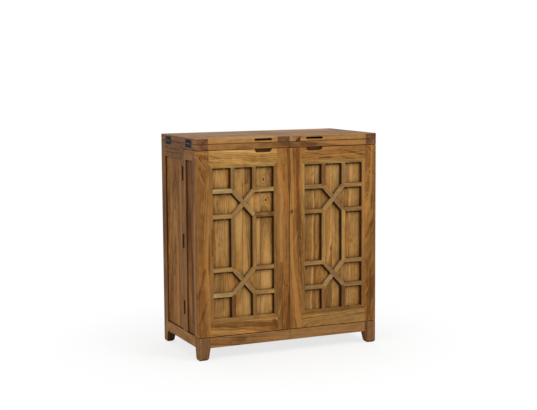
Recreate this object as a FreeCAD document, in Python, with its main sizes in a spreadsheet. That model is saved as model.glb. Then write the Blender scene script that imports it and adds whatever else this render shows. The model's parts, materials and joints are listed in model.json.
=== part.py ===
import FreeCAD, Part
import os
import re

import Sketcher

# Fold-out bar cabinet of solid wood, in millimetres.
# Origin on the floor under the middle of the closed cabinet, front towards -Y, Z up.
# A rear carcass stands on a full-depth base and carries a full-depth fixed top.
# Two deep box doors turn half a turn about the outer ends of the seam behind them,
# and two top leaves turn half a turn about the outer ends of the fixed top.
# The left half is modelled, and what has a right-hand twin is mirrored in X = 0.

doc = FreeCAD.newDocument("bar_cabinet")
dims = doc.addObject("Spreadsheet::Sheet", "dims")

# Driving dimensions: name, value, what it measures.
SIZES = [
    ("cabinet_width", 900, "outside width of the wood"),
    ("cabinet_depth", 470, "outside depth of the wood"),
    ("cabinet_height", 1000, "floor to the top of the folded leaves"),
    # top and leaves
    ("leaf_thickness", 25.6, "folding leaf"),
    ("top_thickness", 26, "fixed top"),
    ("leaf_rest_gap", 0.4, "folded leaf above the fixed top"),
    ("centre_gap", 1, "between the two leaves, and between the two doors"),
    ("cleat_width", 55, "end cleat of a top at its outer end"),
    ("inner_cleat_width", 57, "end cleat of a leaf at the middle of the cabinet"),
    ("tongue_thickness", 8, "tongue of a top board in its end cleat"),
    ("tongue_length", 14, "reach of that tongue"),
    ("tongue_inset", 22, "tongue stops this far from the board's front and back"),
    ("finger_centre", 128, "finger slot and notch from the middle of the cabinet"),
    ("slot_width", 86, "finger slot in a leaf's front edge"),
    ("slot_height", 10, "height of that slot"),
    ("slot_depth", 25, "how far the slot reaches in"),
    ("slot_lip", 8.6, "wood left under the slot"),
    # base
    ("foot_height", 57, "floor to the underside of the aprons"),
    ("apron_height", 47, "height of the base aprons"),
    ("apron_thickness", 22, "thickness of the base aprons"),
    ("leg_width", 57, "front leg across the front"),
    ("leg_depth", 44, "front leg along the side"),
    ("foot_taper", 10, "how much a foot narrows towards the floor on its inner sides"),
    ("foot_chamfer", 10, "chamfer round a foot's bottom"),
    ("deck_thickness", 12, "board that closes the base"),
    ("batten_width", 15, "support batten across its length"),
    ("batten_height", 18, "height of a support batten"),
    # rear carcass
    ("post_width", 45, "rear post across the back"),
    ("post_depth", 50, "rear post along the side"),
    ("stile_width", 27, "carcass front stile along the side"),
    ("stile_thickness", 25, "carcass front stile across the front"),
    ("rail_height", 50, "top rails of the carcass"),
    ("rail_thickness", 22, "top and back rails of the carcass"),
    ("panel_thickness", 8, "every framed panel"),
    ("panel_recess", 8, "face of a side or back panel behind its frame"),
    ("groove_depth", 8, "groove or rabbet that holds a panel"),
    ("groove_play", 0.2, "panel to each wall of its groove"),
    ("panel_play", 0.6, "panel edge to the bottom of its groove"),
    ("vee_depth", 1.6, "depth of the grooves between a panel's planks"),
    ("tenon_length", 16, "tenon of a rail or apron"),
    ("tenon_thickness", 8, "thickness of that tenon"),
    ("tenon_shoulder", 10.5, "tenon inside the edge of its rail"),
    ("joint_play", 0.3, "tenon or tongue to the walls of its mortise"),
    ("shelf_height", 448, "deck to the top of the middle shelf"),
    ("shelf_thickness", 16, "middle shelf"),
    ("shelf_setback", 3, "middle shelf behind the front of the carcass"),
    # stemware rails
    ("hanger_pitch", 74, "middle to middle of the stemware rails"),
    ("hanger_flange", 48, "width of a rail's flange"),
    ("hanger_web", 10, "width of a rail's web"),
    ("hanger_height", 32, "fixed top to the underside of the flange"),
    ("flange_thickness", 9, "thickness of the flange"),
    ("hanger_end_gap", 47, "stemware rails before the back rail"),
    ("hanger_setback", 6, "stemware rails behind the front of the carcass"),
    # bottle cradles
    ("cradle_height", 66, "height of a cradle board"),
    ("cradle_thickness", 15, "thickness of a cradle board"),
    ("cradle_setback", 22, "front cradle behind the front of the carcass"),
    ("cradle_back_gap", 72, "back cradle before the back panel"),
    ("bottle_pitch", 112, "middle to middle of the bottles"),
    ("bottle_radius", 40, "scallop that holds a bottle"),
    ("bottle_rise", 8, "middle of the scallops above the cradle board"),
    # doors
    ("door_depth", 175, "front of the cabinet to the seam behind the doors"),
    ("door_seam_gap", 0.6, "door to carcass at that seam"),
    ("door_head_gap", 3, "door below the fixed top"),
    ("door_foot_gap", 3, "door above the base"),
    ("frame_thickness", 25, "front frame of a door"),
    ("outer_stile", 58, "front stile of a door on the hinge side"),
    ("meeting_stile", 60.5, "front stile of a door at the middle"),
    ("door_top_rail", 61.3, "top rail of a door's front frame"),
    ("door_bottom_rail", 62.7, "bottom rail of a door's front frame"),
    ("notch_width", 83, "finger notch in the top rail"),
    ("notch_depth", 15, "depth of that notch"),
    ("notch_round", 13, "rounding of the notch's lower corners"),
    ("side_thickness", 22, "stiles and rail of a door's side"),
    ("side_front_stile", 28, "side stile behind the front frame"),
    ("side_rear_stile", 27, "side stile at the seam"),
    ("side_rail_height", 46, "top rail of a door's side"),
    ("inner_side_thickness", 16, "board at the meeting side of a door"),
    ("end_board_thickness", 16, "top and bottom boards inside a door"),
    ("finger_room", 19, "door's top board below the top of the door"),
    ("finger_hook", 12, "room for fingertips behind the top rail"),
    ("top_strip_thickness", 12, "strip that closes a door's top behind that room"),
    ("door_shelf_thickness", 14, "shelf inside a door"),
    ("door_shelf_setback", 15, "door shelf inside the rear edge of the door"),
    ("lower_shelf_rise", 262, "door foot to the underside of its lower shelf"),
    ("upper_shelf_rise", 536, "door foot to the underside of its upper shelf"),
    ("gallery_height", 18, "gallery rail"),
    ("gallery_thickness", 10, "gallery rail front to back"),
    ("gallery_rise", 48, "shelf to the underside of its gallery rail"),
    ("gallery_setback", 3, "gallery rail inside the rear edge of the door"),
    # lattice
    ("lattice_border", 17, "border strip round the lattice"),
    ("lattice_bar", 20, "width of a lattice bar"),
    ("lattice_half_gap", 52, "middle of the lattice to the middle of an upright bar"),
    ("lattice_top_cell", 104, "upper crossing below the border"),
    ("lattice_bottom_cell", 106.5, "lower crossing above the border"),
    ("lattice_cross", 114, "height of a crossing"),
    ("lattice_play", 0.2, "border to the door frame"),
    ("lap_play", 0.1, "half-lapped bar to the walls of its lap"),
    # hinges
    ("hinge_offset", 1.5, "hinge pin outside the cabinet's side"),
    ("knuckle_radius", 3.2, "outside of a hinge knuckle"),
    ("knuckle_gap", 0.4, "between knuckles, and round them"),
    ("pin_radius", 1.4, "hinge pin"),
    ("pin_play", 0.08, "hinge pin to the bore of its knuckles"),
    ("plate_thickness", 1.8, "hinge plate"),
    ("plate_play", 0.3, "hinge plate to the edges of its mortise"),
    ("door_hinge_length", 65, "door hinge"),
    ("door_hinge_reach", 20, "door hinge pin to the far edge of a plate"),
    ("door_hinge_inset", 110, "end of the door to the middle of its hinge"),
    ("leaf_hinge_length", 76, "leaf hinge"),
    ("leaf_hinge_reach", 18, "leaf hinge pin to the far edge of a plate"),
    ("leaf_hinge_inset", 100, "end of the leaf to the middle of its hinge"),
    # catches
    ("catch_length", 44, "magnetic catch across the front"),
    ("catch_depth", 15, "magnetic catch front to back"),
    ("catch_height", 13, "height of a magnetic catch"),
    ("catch_gap", 0.6, "catch behind the front of the carcass"),
    ("catch_inset", 24, "catch from the middle of the cabinet"),
]

for row, (name, value, meaning) in enumerate(SIZES, start=1):
    dims.set(f"A{row}", name)
    dims.set(f"B{row}", str(value))
    dims.setAlias(f"B{row}", name)
    dims.set(f"C{row}", meaning)
doc.recompute()

NAMES = {name for name, value, meaning in SIZES}

# How many of what repeats, and the sides of a hidden pin and its bore.
PIN_SIDES = 12
KNUCKLES = 3
FIXED_KNUCKLES = (0, 2)
MOVING_KNUCKLES = (1,)
HANGERS = 5
BOTTLES = 7
DOOR_PLANKS = 4
SIDE_PLANKS = 3
DOOR_SIDE_PLANKS = 2
BACK_PLANKS = 9

# Places that several pieces share, as sums in sheet names.
LEFT = "(-cabinet_width / 2)"
FRONT = "(-cabinet_depth / 2)"
BACK = "(cabinet_depth / 2)"
MIDDLE_EDGE = "(-centre_gap / 2)"

BASE_TOP = "(foot_height + apron_height)"
LEG_INNER = f"({LEFT} + leg_width)"
LEG_BACK = f"({FRONT} + leg_depth)"
POST_INNER = f"({LEFT} + post_width)"
POST_FRONT = f"({BACK} - post_depth)"
APRON_INNER = f"({LEFT} + apron_thickness)"

LEAF_FOOT = "(cabinet_height - leaf_thickness)"
TOP_FACE = f"({LEAF_FOOT} - leaf_rest_gap)"
TOP_FOOT = f"({TOP_FACE} - top_thickness)"
RAIL_FOOT = f"({TOP_FOOT} - rail_height)"
CLEAT_INNER = f"({LEFT} + cleat_width)"

SEAM = f"({FRONT} + door_depth)"
DOOR_REAR = f"({SEAM} - door_seam_gap / 2)"
CARCASS_FRONT = f"({SEAM} + door_seam_gap / 2)"
CARCASS_STILE_BACK = f"({SEAM} + stile_width)"
CARCASS_STILE_INNER = f"({LEFT} + stile_thickness)"
SHELF_TOP = f"({BASE_TOP} + shelf_height)"
SHELF_FOOT = f"({SHELF_TOP} - shelf_thickness)"

PANEL_OUTER = f"({LEFT} + panel_recess)"
PANEL_INNER = f"({PANEL_OUTER} + panel_thickness)"
BACK_PANEL_REAR = f"({BACK} - panel_recess)"
BACK_PANEL_FRONT = f"({BACK_PANEL_REAR} - panel_thickness)"
PANEL_REACH = "(groove_depth - panel_play)"

DOOR_HEAD = f"({TOP_FOOT} - door_head_gap)"
DOOR_FOOT = f"({BASE_TOP} + door_foot_gap)"
FRAME_BACK = f"({FRONT} + frame_thickness)"
DOOR_PANEL_FACE = f"({FRAME_BACK} - panel_thickness)"
STILE_INNER = f"({LEFT} + outer_stile)"
MEETING_INNER = f"({MIDDLE_EDGE} - meeting_stile)"
TOP_RAIL_FOOT = f"({DOOR_HEAD} - door_top_rail)"
BOTTOM_RAIL_TOP = f"({DOOR_FOOT} + door_bottom_rail)"
DOOR_SIDE_INNER = f"({LEFT} + side_thickness)"
SIDE_STILE_BACK = f"({FRAME_BACK} + side_front_stile)"
SIDE_REAR_FRONT = f"({SEAM} - side_rear_stile)"
SIDE_RAIL_FOOT = f"({DOOR_HEAD} - side_rail_height)"
INNER_SIDE_FACE = f"({MIDDLE_EDGE} - inner_side_thickness)"
DOOR_TOP_BOARD = f"({DOOR_HEAD} - finger_room)"
DOOR_FLOOR = f"({DOOR_FOOT} + end_board_thickness)"

PIN_X = f"({LEFT} - hinge_offset)"
PIN_Z = f"({TOP_FACE} + leaf_rest_gap / 2)"
DOOR_HINGES = (
    f"({DOOR_FOOT} + door_hinge_inset)",
    f"(({DOOR_FOOT} + {DOOR_HEAD}) / 2)",
    f"({DOOR_HEAD} - door_hinge_inset)",
)
LEAF_HINGES = (f"({FRONT} + leaf_hinge_inset)", f"({BACK} - leaf_hinge_inset)")

X_AXIS = FreeCAD.Vector(1, 0, 0)
Y_AXIS = FreeCAD.Vector(0, 1, 0)
Z_AXIS = FreeCAD.Vector(0, 0, 1)


def tied(text):
    """A sum in sheet names, written as the sheet's own references."""
    return re.sub(r"[a-z_]+", lambda word: f"dims.{word[0]}" if word[0] in NAMES else word[0], text)


def tie(thing, setting, text):
    thing.setExpression(setting, tied(text))


def put(thing, corner, turn=None):
    """Place a thing at a corner given as three sums, turned by a fixed rotation."""
    if turn is not None:
        thing.Placement = FreeCAD.Placement(FreeCAD.Vector(), turn)
    for axis, text in zip("xyz", corner):
        tie(thing, f"Placement.Base.{axis}", text)


def frame_turn(across, through):
    """Rotation that sends local X to one direction and local Y to another."""
    return FreeCAD.Rotation(across, through, across.cross(through), "XYZ")


# Blocks: a piece of squared timber is a range in X, in Y and in Z.


def from_low(low, size):
    return (low, f"({low} + {size})")


def to_high(high, size):
    return (f"({high} - {size})", high)


def across_middle(inner):
    return (inner, f"(-{inner})")


def centred(middle, size):
    return (f"({middle} - {size} / 2)", f"({middle} + {size} / 2)")


def widened(block, play):
    """The same block with a clearance on every side."""
    return tuple((f"({low} - {play})", f"({high} + {play})") for low, high in block)


def box(name, block):
    solid = doc.addObject("Part::Box", name)
    for side, axis, (low, high) in zip(("Length", "Width", "Height"), "xyz", block):
        tie(solid, side, f"{high} - {low}")
        tie(solid, f"Placement.Base.{axis}", low)
    return solid


def rod(name, radius, middle, length, turn, shift):
    """Cylinder about a middle point, along the axis that its turn and shift name."""
    solid = doc.addObject("Part::Cylinder", name)
    tie(solid, "Radius", radius)
    tie(solid, "Height", length)
    corner = [f"({text} - {step} * ({length}) / 2)" for text, step in zip(middle, shift)]
    put(solid, corner, turn)
    return solid


def as_solid(name, shape):
    return box(name, shape) if isinstance(shape, tuple) else shape


def merged(name, shapes):
    if len(shapes) == 1:
        return shapes[0]
    fuse = doc.addObject("Part::MultiFuse", name)
    fuse.Shapes = shapes
    fuse.Refine = True
    return fuse


def timber(label, blank, tenons=(), cuts=()):
    """A blank with the tenons or tongues it carries, less the cuts made in it."""
    adds = [as_solid(f"{label}_tenon", shape) for shape in tenons]
    piece = merged(f"{label}_with_tenons", [as_solid(f"{label}_blank", blank)] + adds)
    if cuts:
        tools = [as_solid(f"{label}_cut", shape) for shape in cuts]
        cut = doc.addObject("Part::Cut", f"{label}_shaped")
        cut.Base = piece
        cut.Tool = merged(f"{label}_cuts", tools)
        cut.Refine = True
        piece = cut
    piece.Label = label
    return piece


def group(label, members):
    compound = doc.addObject("Part::Compound", label)
    compound.Links = members
    compound.Label = label
    return compound


def mirrored(label, source):
    twin = doc.addObject("Part::Mirroring", label)
    twin.Source = source
    twin.Normal = X_AXIS
    twin.Label = label
    return twin


# Sketched bodies: every extrusion runs from its sketch along the positive axis.


def new_body(label):
    body = doc.addObject("PartDesign::Body", label)
    body.Label = label
    return body


def sketch_on(body, plane, name, level):
    sketch = body.newObject("Sketcher::SketchObject", name)
    origin_plane = [part for part in body.Origin.OriginFeatures if part.Role == plane][0]
    sketch.AttachmentSupport = [(origin_plane, "")]
    sketch.MapMode = "FlatFace"
    facing = -1 if plane == "XZ_Plane" else 1
    tie(sketch, "AttachmentOffset.Base.z", f"{facing} * ({level})")
    return sketch


def pin_point(sketch, line, point, place):
    """Hold a point of the sketch at two distances from the origin."""
    for kind, text in zip(("DistanceX", "DistanceY"), place):
        value = float(sketch.evalExpression(tied(text)))
        number = sketch.addConstraint(Sketcher.Constraint(kind, -1, 1, line, point, value))
        tie(sketch, f"Constraints[{number}]", text)


def outline(body, plane, name, corners, level="0"):
    """Closed outline of straight sides through corners given as pairs of sums."""
    sketch = sketch_on(body, plane, name, level)
    points = [
        FreeCAD.Vector(*(float(sketch.evalExpression(tied(text))) for text in corner), 0)
        for corner in corners
    ]
    count = len(points)
    for index in range(count):
        sketch.addGeometry(Part.LineSegment(points[index], points[(index + 1) % count]), False)
    for index in range(count):
        sketch.addConstraint(Sketcher.Constraint("Coincident", index, 2, (index + 1) % count, 1))
    for index, corner in enumerate(corners):
        pin_point(sketch, index, 1, corner)
    return sketch


def ring(body, plane, name, radius, middle=("0", "0"), level="0"):
    """One circle about a middle given as a pair of sums."""
    sketch = sketch_on(body, plane, name, level)
    size = float(sketch.evalExpression(tied(radius)))
    place = [float(sketch.evalExpression(tied(text))) for text in middle]
    sketch.addGeometry(Part.Circle(FreeCAD.Vector(*place, 0), Z_AXIS, size), False)
    number = sketch.addConstraint(Sketcher.Constraint("Radius", 0, size))
    tie(sketch, f"Constraints[{number}]", radius)
    pin_point(sketch, 0, 3, middle)
    return sketch


def extruded(body, kind, name, sketch, length):
    feature = body.newObject(f"PartDesign::{kind}", name)
    feature.Profile = sketch
    tie(feature, "Length", length)
    faces_back = sketch.AttachmentSupport[0][0].Role == "XZ_Plane"
    feature.Reversed = faces_back != (kind == "Pocket")
    return feature


def patterned(body, name, feature, axis, pitch, count):
    """Repeat a feature along an axis of its own sketch."""
    pattern = body.newObject("PartDesign::LinearPattern", name)
    pattern.Originals = [feature]
    pattern.Direction = (feature.Profile[0], [axis])
    tie(pattern, "Length", f"({pitch}) * {count - 1}")
    pattern.Occurrences = count
    body.Tip = pattern
    return pattern


def edges_of(shape, wanted):
    return [f"Edge{index}" for index, edge in enumerate(shape.Edges, start=1) if wanted(edge)]


def dressed(body, kind, name, feature, size, wanted):
    """Fillet or chamfer the edges of the last feature that a test picks out."""
    doc.recompute()
    dressing = body.newObject(f"PartDesign::{kind}", name)
    dressing.Base = (feature, edges_of(feature.Shape, wanted))
    tie(dressing, "Radius" if kind == "Fillet" else "Size", size)
    return dressing


def rectangle(low_x, low_y, high_x, high_y):
    return [(low_x, low_y), (high_x, low_y), (high_x, high_y), (low_x, high_y)]


# Legs and posts


def leg(label, corner, width, depth, height, inward):
    """Squared leg whose foot narrows on its two inner sides; inward is +1 or -1 along Y."""
    body = new_body(label)
    inner_face = f"({inward} * {depth})"
    section = outline(body, "XY_Plane", "section", rectangle("0", "0", width, inner_face))
    extruded(body, "Pad", "shaft", section, height)
    side_taper = outline(body, "XZ_Plane", "side_taper_outline", [
        (f"({width} - foot_taper)", "0"), (width, "0"), (width, "foot_height")],
        level="0" if inward > 0 else inner_face)
    extruded(body, "Pocket", "side_taper", side_taper, depth)
    depth_taper = outline(body, "YZ_Plane", "depth_taper_outline", [
        (f"({inner_face} - {inward} * foot_taper)", "0"), (inner_face, "0"),
        (inner_face, "foot_height")])
    tapered = extruded(body, "Pocket", "depth_taper", depth_taper, width)
    slack = dims.get("foot_chamfer") / 2
    dressed(body, "Chamfer", "soft_foot", tapered, "foot_chamfer",
            lambda edge: edge.BoundBox.ZMax < slack)
    put(body, corner)
    return body


# Framed rails with tenons


def tenon_of(axis, root, block, toward):
    """Tenon on the end of a rail: thinner than the rail and inside its upper and lower edges."""
    tongue = list(block)
    tongue[axis] = from_low(root, "tenon_length") if toward > 0 else to_high(root, "tenon_length")
    through = 1 - axis
    low, high = block[through]
    tongue[through] = centred(f"(({low} + {high}) / 2)", "tenon_thickness")
    low, high = block[2]
    tongue[2] = (f"({low} + tenon_shoulder)", f"({high} - tenon_shoulder)")
    return tuple(tongue)


FRONT_APRON = (across_middle(LEG_INNER), from_low(FRONT, "apron_thickness"),
               ("foot_height", BASE_TOP))
SIDE_APRON = ((LEFT, APRON_INNER), (LEG_BACK, POST_FRONT), ("foot_height", BASE_TOP))
BACK_APRON = (across_middle(POST_INNER), to_high(BACK, "rail_thickness"),
              ("foot_height", BASE_TOP))
SIDE_RAIL = (from_low(LEFT, "rail_thickness"), (CARCASS_STILE_BACK, POST_FRONT),
             (RAIL_FOOT, TOP_FOOT))
BACK_RAIL = (across_middle(POST_INNER), to_high(BACK, "rail_thickness"), (RAIL_FOOT, TOP_FOOT))

FRONT_APRON_TENON = tenon_of(0, LEG_INNER, FRONT_APRON, -1)
SIDE_APRON_TENONS = (tenon_of(1, LEG_BACK, SIDE_APRON, -1), tenon_of(1, POST_FRONT, SIDE_APRON, 1))
BACK_APRON_TENON = tenon_of(0, POST_INNER, BACK_APRON, -1)
SIDE_RAIL_TENONS = (tenon_of(1, CARCASS_STILE_BACK, SIDE_RAIL, -1),
                    tenon_of(1, POST_FRONT, SIDE_RAIL, 1))
BACK_RAIL_TENON = tenon_of(0, POST_INNER, BACK_RAIL, -1)


def twin_block(block):
    """The block's reflection in the middle plane of the cabinet."""
    low, high = block[0]
    return ((f"(-{high})", f"(-{low})"), block[1], block[2])


# Panel grooves: the panel's own block, wider by its play, deep into the frame around it.

SIDE_GROOVE_X = (f"({PANEL_OUTER} - groove_play)", f"({PANEL_INNER} + groove_play)")
BACK_GROOVE_Y = (f"({BACK_PANEL_FRONT} - groove_play)", f"({BACK_PANEL_REAR} + groove_play)")
SIDE_GROOVE = (SIDE_GROOVE_X,
               (f"({CARCASS_STILE_BACK} - groove_depth)", f"({POST_FRONT} + groove_depth)"),
               (f"({BASE_TOP} - groove_depth)", f"({RAIL_FOOT} + groove_depth)"))
BACK_GROOVE = (across_middle(f"({POST_INNER} - groove_depth)"), BACK_GROOVE_Y,
               (f"({BASE_TOP} - groove_depth)", f"({RAIL_FOOT} + groove_depth)"))
DOOR_SIDE_GROOVE = (SIDE_GROOVE_X,
                    (f"({SIDE_STILE_BACK} - groove_depth)", f"({SIDE_REAR_FRONT} + groove_depth)"),
                    (DOOR_FOOT, f"({SIDE_RAIL_FOOT} + groove_depth)"))
DOOR_RABBET = ((f"({STILE_INNER} - groove_depth)", f"({MEETING_INNER} + groove_depth)"),
               (DOOR_PANEL_FACE, FRAME_BACK),
               (f"({BOTTOM_RAIL_TOP} - groove_depth)", f"({TOP_RAIL_FOOT} + groove_depth)"))


def planked_panel(label, width, height, planks, corner, turn):
    """Thin panel of upright planks; local X across it, vee grooves in its local y = 0 face."""
    body = new_body(label)
    sheet = outline(body, "XZ_Plane", "sheet_outline", rectangle("0", "0", width, height))
    extruded(body, "Pad", "sheet", sheet, "panel_thickness")
    pitch = f"({width}) / {planks}"
    vee = outline(body, "XY_Plane", "vee_outline", [
        (f"({pitch} - vee_depth)", "0"), (f"({pitch} + vee_depth)", "0"), (pitch, "vee_depth")])
    groove = extruded(body, "Pocket", "vee", vee, height)
    if planks > 2:
        patterned(body, "vees", groove, "H_Axis", pitch, planks - 1)
    put(body, corner, turn)
    return body


# Hinges

# The flats of a bore keep the play from the corners of its pin.
BORE_RADIUS = f"((pin_radius + pin_play) / cos(180 deg / {PIN_SIDES}))"


def many_sided(body, name, radius):
    """Regular outline about the origin, for hidden round work that repeats."""
    corners = []
    for index in range(PIN_SIDES):
        turn = f"{index} * 360 deg / {PIN_SIDES}"
        corners.append((f"({radius} * cos({turn}))", f"({radius} * sin({turn}))"))
    return outline(body, "XY_Plane", name, corners)


def hinge_plate(label, length, reach, face, own, corner, turn):
    """Rolled plate with its knuckles; local Z is the pin, local X runs across the plate.

    face is the distance from the pin's plane to the plate, own the numbers of its knuckles.
    """
    body = new_body(label)
    step = f"({length} / {KNUCKLES})"
    thickness = (face, f"({face} + plate_thickness)")
    sheet = outline(body, "XY_Plane", "plate_outline", rectangle(
        "(knuckle_radius + knuckle_gap)", thickness[0], reach, thickness[1]))
    extruded(body, "Pad", "plate", sheet, length)
    for index in own:
        start = f"({index} * {step} + knuckle_gap / 2)"
        knuckle = ring(body, "XY_Plane", "knuckle_outline", "knuckle_radius", level=start)
        extruded(body, "Pad", "knuckle", knuckle, f"{step} - knuckle_gap")
        neck = outline(body, "XY_Plane", "neck_outline", rectangle(
            "0", thickness[0], "(knuckle_radius + 2 * knuckle_gap)", thickness[1]), start)
        extruded(body, "Pad", "neck", neck, f"{step} - knuckle_gap")
    bore = many_sided(body, "bore_outline", BORE_RADIUS)
    extruded(body, "Pocket", "bore", bore, length)
    put(body, corner, turn)
    return body


def hinge_pin(label, length, corner, turn):
    """Pin through every knuckle, flush with the ends of the outer ones."""
    body = new_body(label)
    section = many_sided(body, "section", "pin_radius")
    extruded(body, "Pad", "pin", section, length)
    put(body, corner, turn)
    return body


# Local X of a plate, then the side of the seam that its thickness lies on.
DOOR_FIXED_TURN = frame_turn(X_AXIS, Y_AXIS)
DOOR_MOVING_TURN = frame_turn(X_AXIS, -Y_AXIS)
LEAF_FIXED_TURN = frame_turn(-Z_AXIS, X_AXIS)
LEAF_MOVING_TURN = frame_turn(Z_AXIS, X_AXIS)
UPRIGHT = FreeCAD.Rotation()
LIE_ALONG_Y = FreeCAD.Rotation(X_AXIS, -90)


def hinge_ends(middle, length):
    return f"({middle} - {length} / 2)", f"({middle} + {length} / 2)"


def door_hinges():
    """Plates and pins of the three hinges of the left door."""
    fixed, moving, pins = [], [], []
    for middle in DOOR_HINGES:
        low, high = hinge_ends(middle, "door_hinge_length")
        sizes = ("door_hinge_length", "door_hinge_reach", "(door_seam_gap / 2)")
        fixed.append(hinge_plate("door_hinge_fixed", *sizes, FIXED_KNUCKLES,
                                 (PIN_X, SEAM, low), DOOR_FIXED_TURN))
        moving.append(hinge_plate("door_hinge_moving", *sizes, MOVING_KNUCKLES,
                                  (PIN_X, SEAM, high), DOOR_MOVING_TURN))
        pins.append(hinge_pin("door_hinge_pin", "door_hinge_length",
                              (PIN_X, SEAM, low), DOOR_FIXED_TURN))
    return fixed, moving, pins


def leaf_hinges():
    """Plates and pins of the two hinges of the left leaf."""
    fixed, moving, pins = [], [], []
    for middle in LEAF_HINGES:
        low, high = hinge_ends(middle, "leaf_hinge_length")
        sizes = ("leaf_hinge_length", "leaf_hinge_reach", "hinge_offset")
        fixed.append(hinge_plate("leaf_hinge_fixed", *sizes, FIXED_KNUCKLES,
                                 (PIN_X, high, PIN_Z), LEAF_FIXED_TURN))
        moving.append(hinge_plate("leaf_hinge_moving", *sizes, MOVING_KNUCKLES,
                                  (PIN_X, low, PIN_Z), LEAF_MOVING_TURN))
        pins.append(hinge_pin("leaf_hinge_pin", "leaf_hinge_length",
                              (PIN_X, high, PIN_Z), LEAF_FIXED_TURN))
    return fixed, moving, pins


RELIEF_RADIUS = "(knuckle_radius + knuckle_gap)"
RELIEF_ENDS = "2 * knuckle_gap"


def door_hinge_cuts(label, side):
    """Mortises and knuckle reliefs in a stile; side is +1 behind the seam, -1 before it."""
    face = CARCASS_FRONT if side > 0 else DOOR_REAR
    through = from_low(face, "plate_thickness") if side > 0 else to_high(face, "plate_thickness")
    across = (PIN_X, f"({PIN_X} + door_hinge_reach + plate_play)")
    cuts = []
    for middle in DOOR_HINGES:
        cuts.append((across, through, centred(middle, "(door_hinge_length + 2 * plate_play)")))
        cuts.append(rod(f"{label}_relief", RELIEF_RADIUS, (PIN_X, SEAM, middle),
                        f"(door_hinge_length + {RELIEF_ENDS})", UPRIGHT, (0, 0, 1)))
    return cuts


def leaf_hinge_cuts(label, side):
    """Mortises and knuckle reliefs in a cleat; side is +1 above the seam, -1 below it."""
    reach = "(leaf_hinge_reach + plate_play)"
    upright = from_low(PIN_Z, reach) if side > 0 else to_high(PIN_Z, reach)
    cuts = []
    for middle in LEAF_HINGES:
        cuts.append((from_low(LEFT, "plate_thickness"),
                     centred(middle, "(leaf_hinge_length + 2 * plate_play)"), upright))
        cuts.append(rod(f"{label}_relief", RELIEF_RADIUS, (PIN_X, middle, PIN_Z),
                        f"(leaf_hinge_length + {RELIEF_ENDS})", LIE_ALONG_Y, (0, 1, 0)))
    return cuts


# Base


def base_pieces():
    front_leg = timber(
        "front_leg_left",
        leg("front_leg_blank", (LEFT, FRONT, "0"), "leg_width", "leg_depth", BASE_TOP, 1),
        cuts=[widened(FRONT_APRON_TENON, "joint_play"), widened(SIDE_APRON_TENONS[0], "joint_play")])
    rear_post = timber(
        "rear_post_left",
        leg("rear_post_blank", (LEFT, BACK, "0"), "post_width", "post_depth", TOP_FOOT, -1),
        cuts=[widened(SIDE_APRON_TENONS[1], "joint_play"), widened(BACK_APRON_TENON, "joint_play"),
              widened(SIDE_RAIL_TENONS[1], "joint_play"), widened(BACK_RAIL_TENON, "joint_play"),
              SIDE_GROOVE, BACK_GROOVE])
    side_apron = timber("side_apron_left", SIDE_APRON, SIDE_APRON_TENONS, [SIDE_GROOVE])
    return {
        "front_leg_left": front_leg,
        "front_leg_right": mirrored("front_leg_right", front_leg),
        "rear_post_left": rear_post,
        "rear_post_right": mirrored("rear_post_right", rear_post),
        "side_apron_left": side_apron,
        "side_apron_right": mirrored("side_apron_right", side_apron),
        "front_apron": timber("front_apron", FRONT_APRON,
                              [FRONT_APRON_TENON, twin_block(FRONT_APRON_TENON)]),
        "back_bottom_rail": timber("back_bottom_rail", BACK_APRON,
                                   [BACK_APRON_TENON, twin_block(BACK_APRON_TENON)], [BACK_GROOVE]),
        "base_deck": base_deck(),
        "support_battens": support_battens(),
    }


def base_deck():
    """Board flush with the top of the base, notched round the legs and posts."""
    height = to_high(BASE_TOP, "deck_thickness")
    leg_corner = ((LEFT, f"({LEG_INNER} + joint_play)"), (FRONT, f"({LEG_BACK} + joint_play)"), height)
    post_corner = ((LEFT, f"({POST_INNER} + joint_play)"), (f"({POST_FRONT} - joint_play)", BACK), height)
    board = (across_middle(APRON_INNER),
             (f"({FRONT} + apron_thickness)", f"({BACK} - rail_thickness)"), height)
    return timber("base_deck", board, cuts=[
        leg_corner, twin_block(leg_corner), post_corner, twin_block(post_corner)])


def support_battens():
    """Two battens under the deck and two under the ends of the middle shelf."""
    under_deck = to_high(f"({BASE_TOP} - deck_thickness)", "batten_height")
    front = box("deck_batten_front", (
        across_middle(LEG_INNER), from_low(f"({FRONT} + apron_thickness)", "batten_width"), under_deck))
    back = box("deck_batten_back", (
        across_middle(POST_INNER), to_high(f"({BACK} - rail_thickness)", "batten_width"), under_deck))
    left = box("shelf_batten_left", (
        (PANEL_INNER, f"({CARCASS_STILE_INNER} + batten_width)"), (CARCASS_STILE_BACK, POST_FRONT),
        to_high(SHELF_FOOT, "batten_height")))
    return group("support_battens", [front, back, left, mirrored("shelf_batten_right", left)])


# Rear carcass


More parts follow.
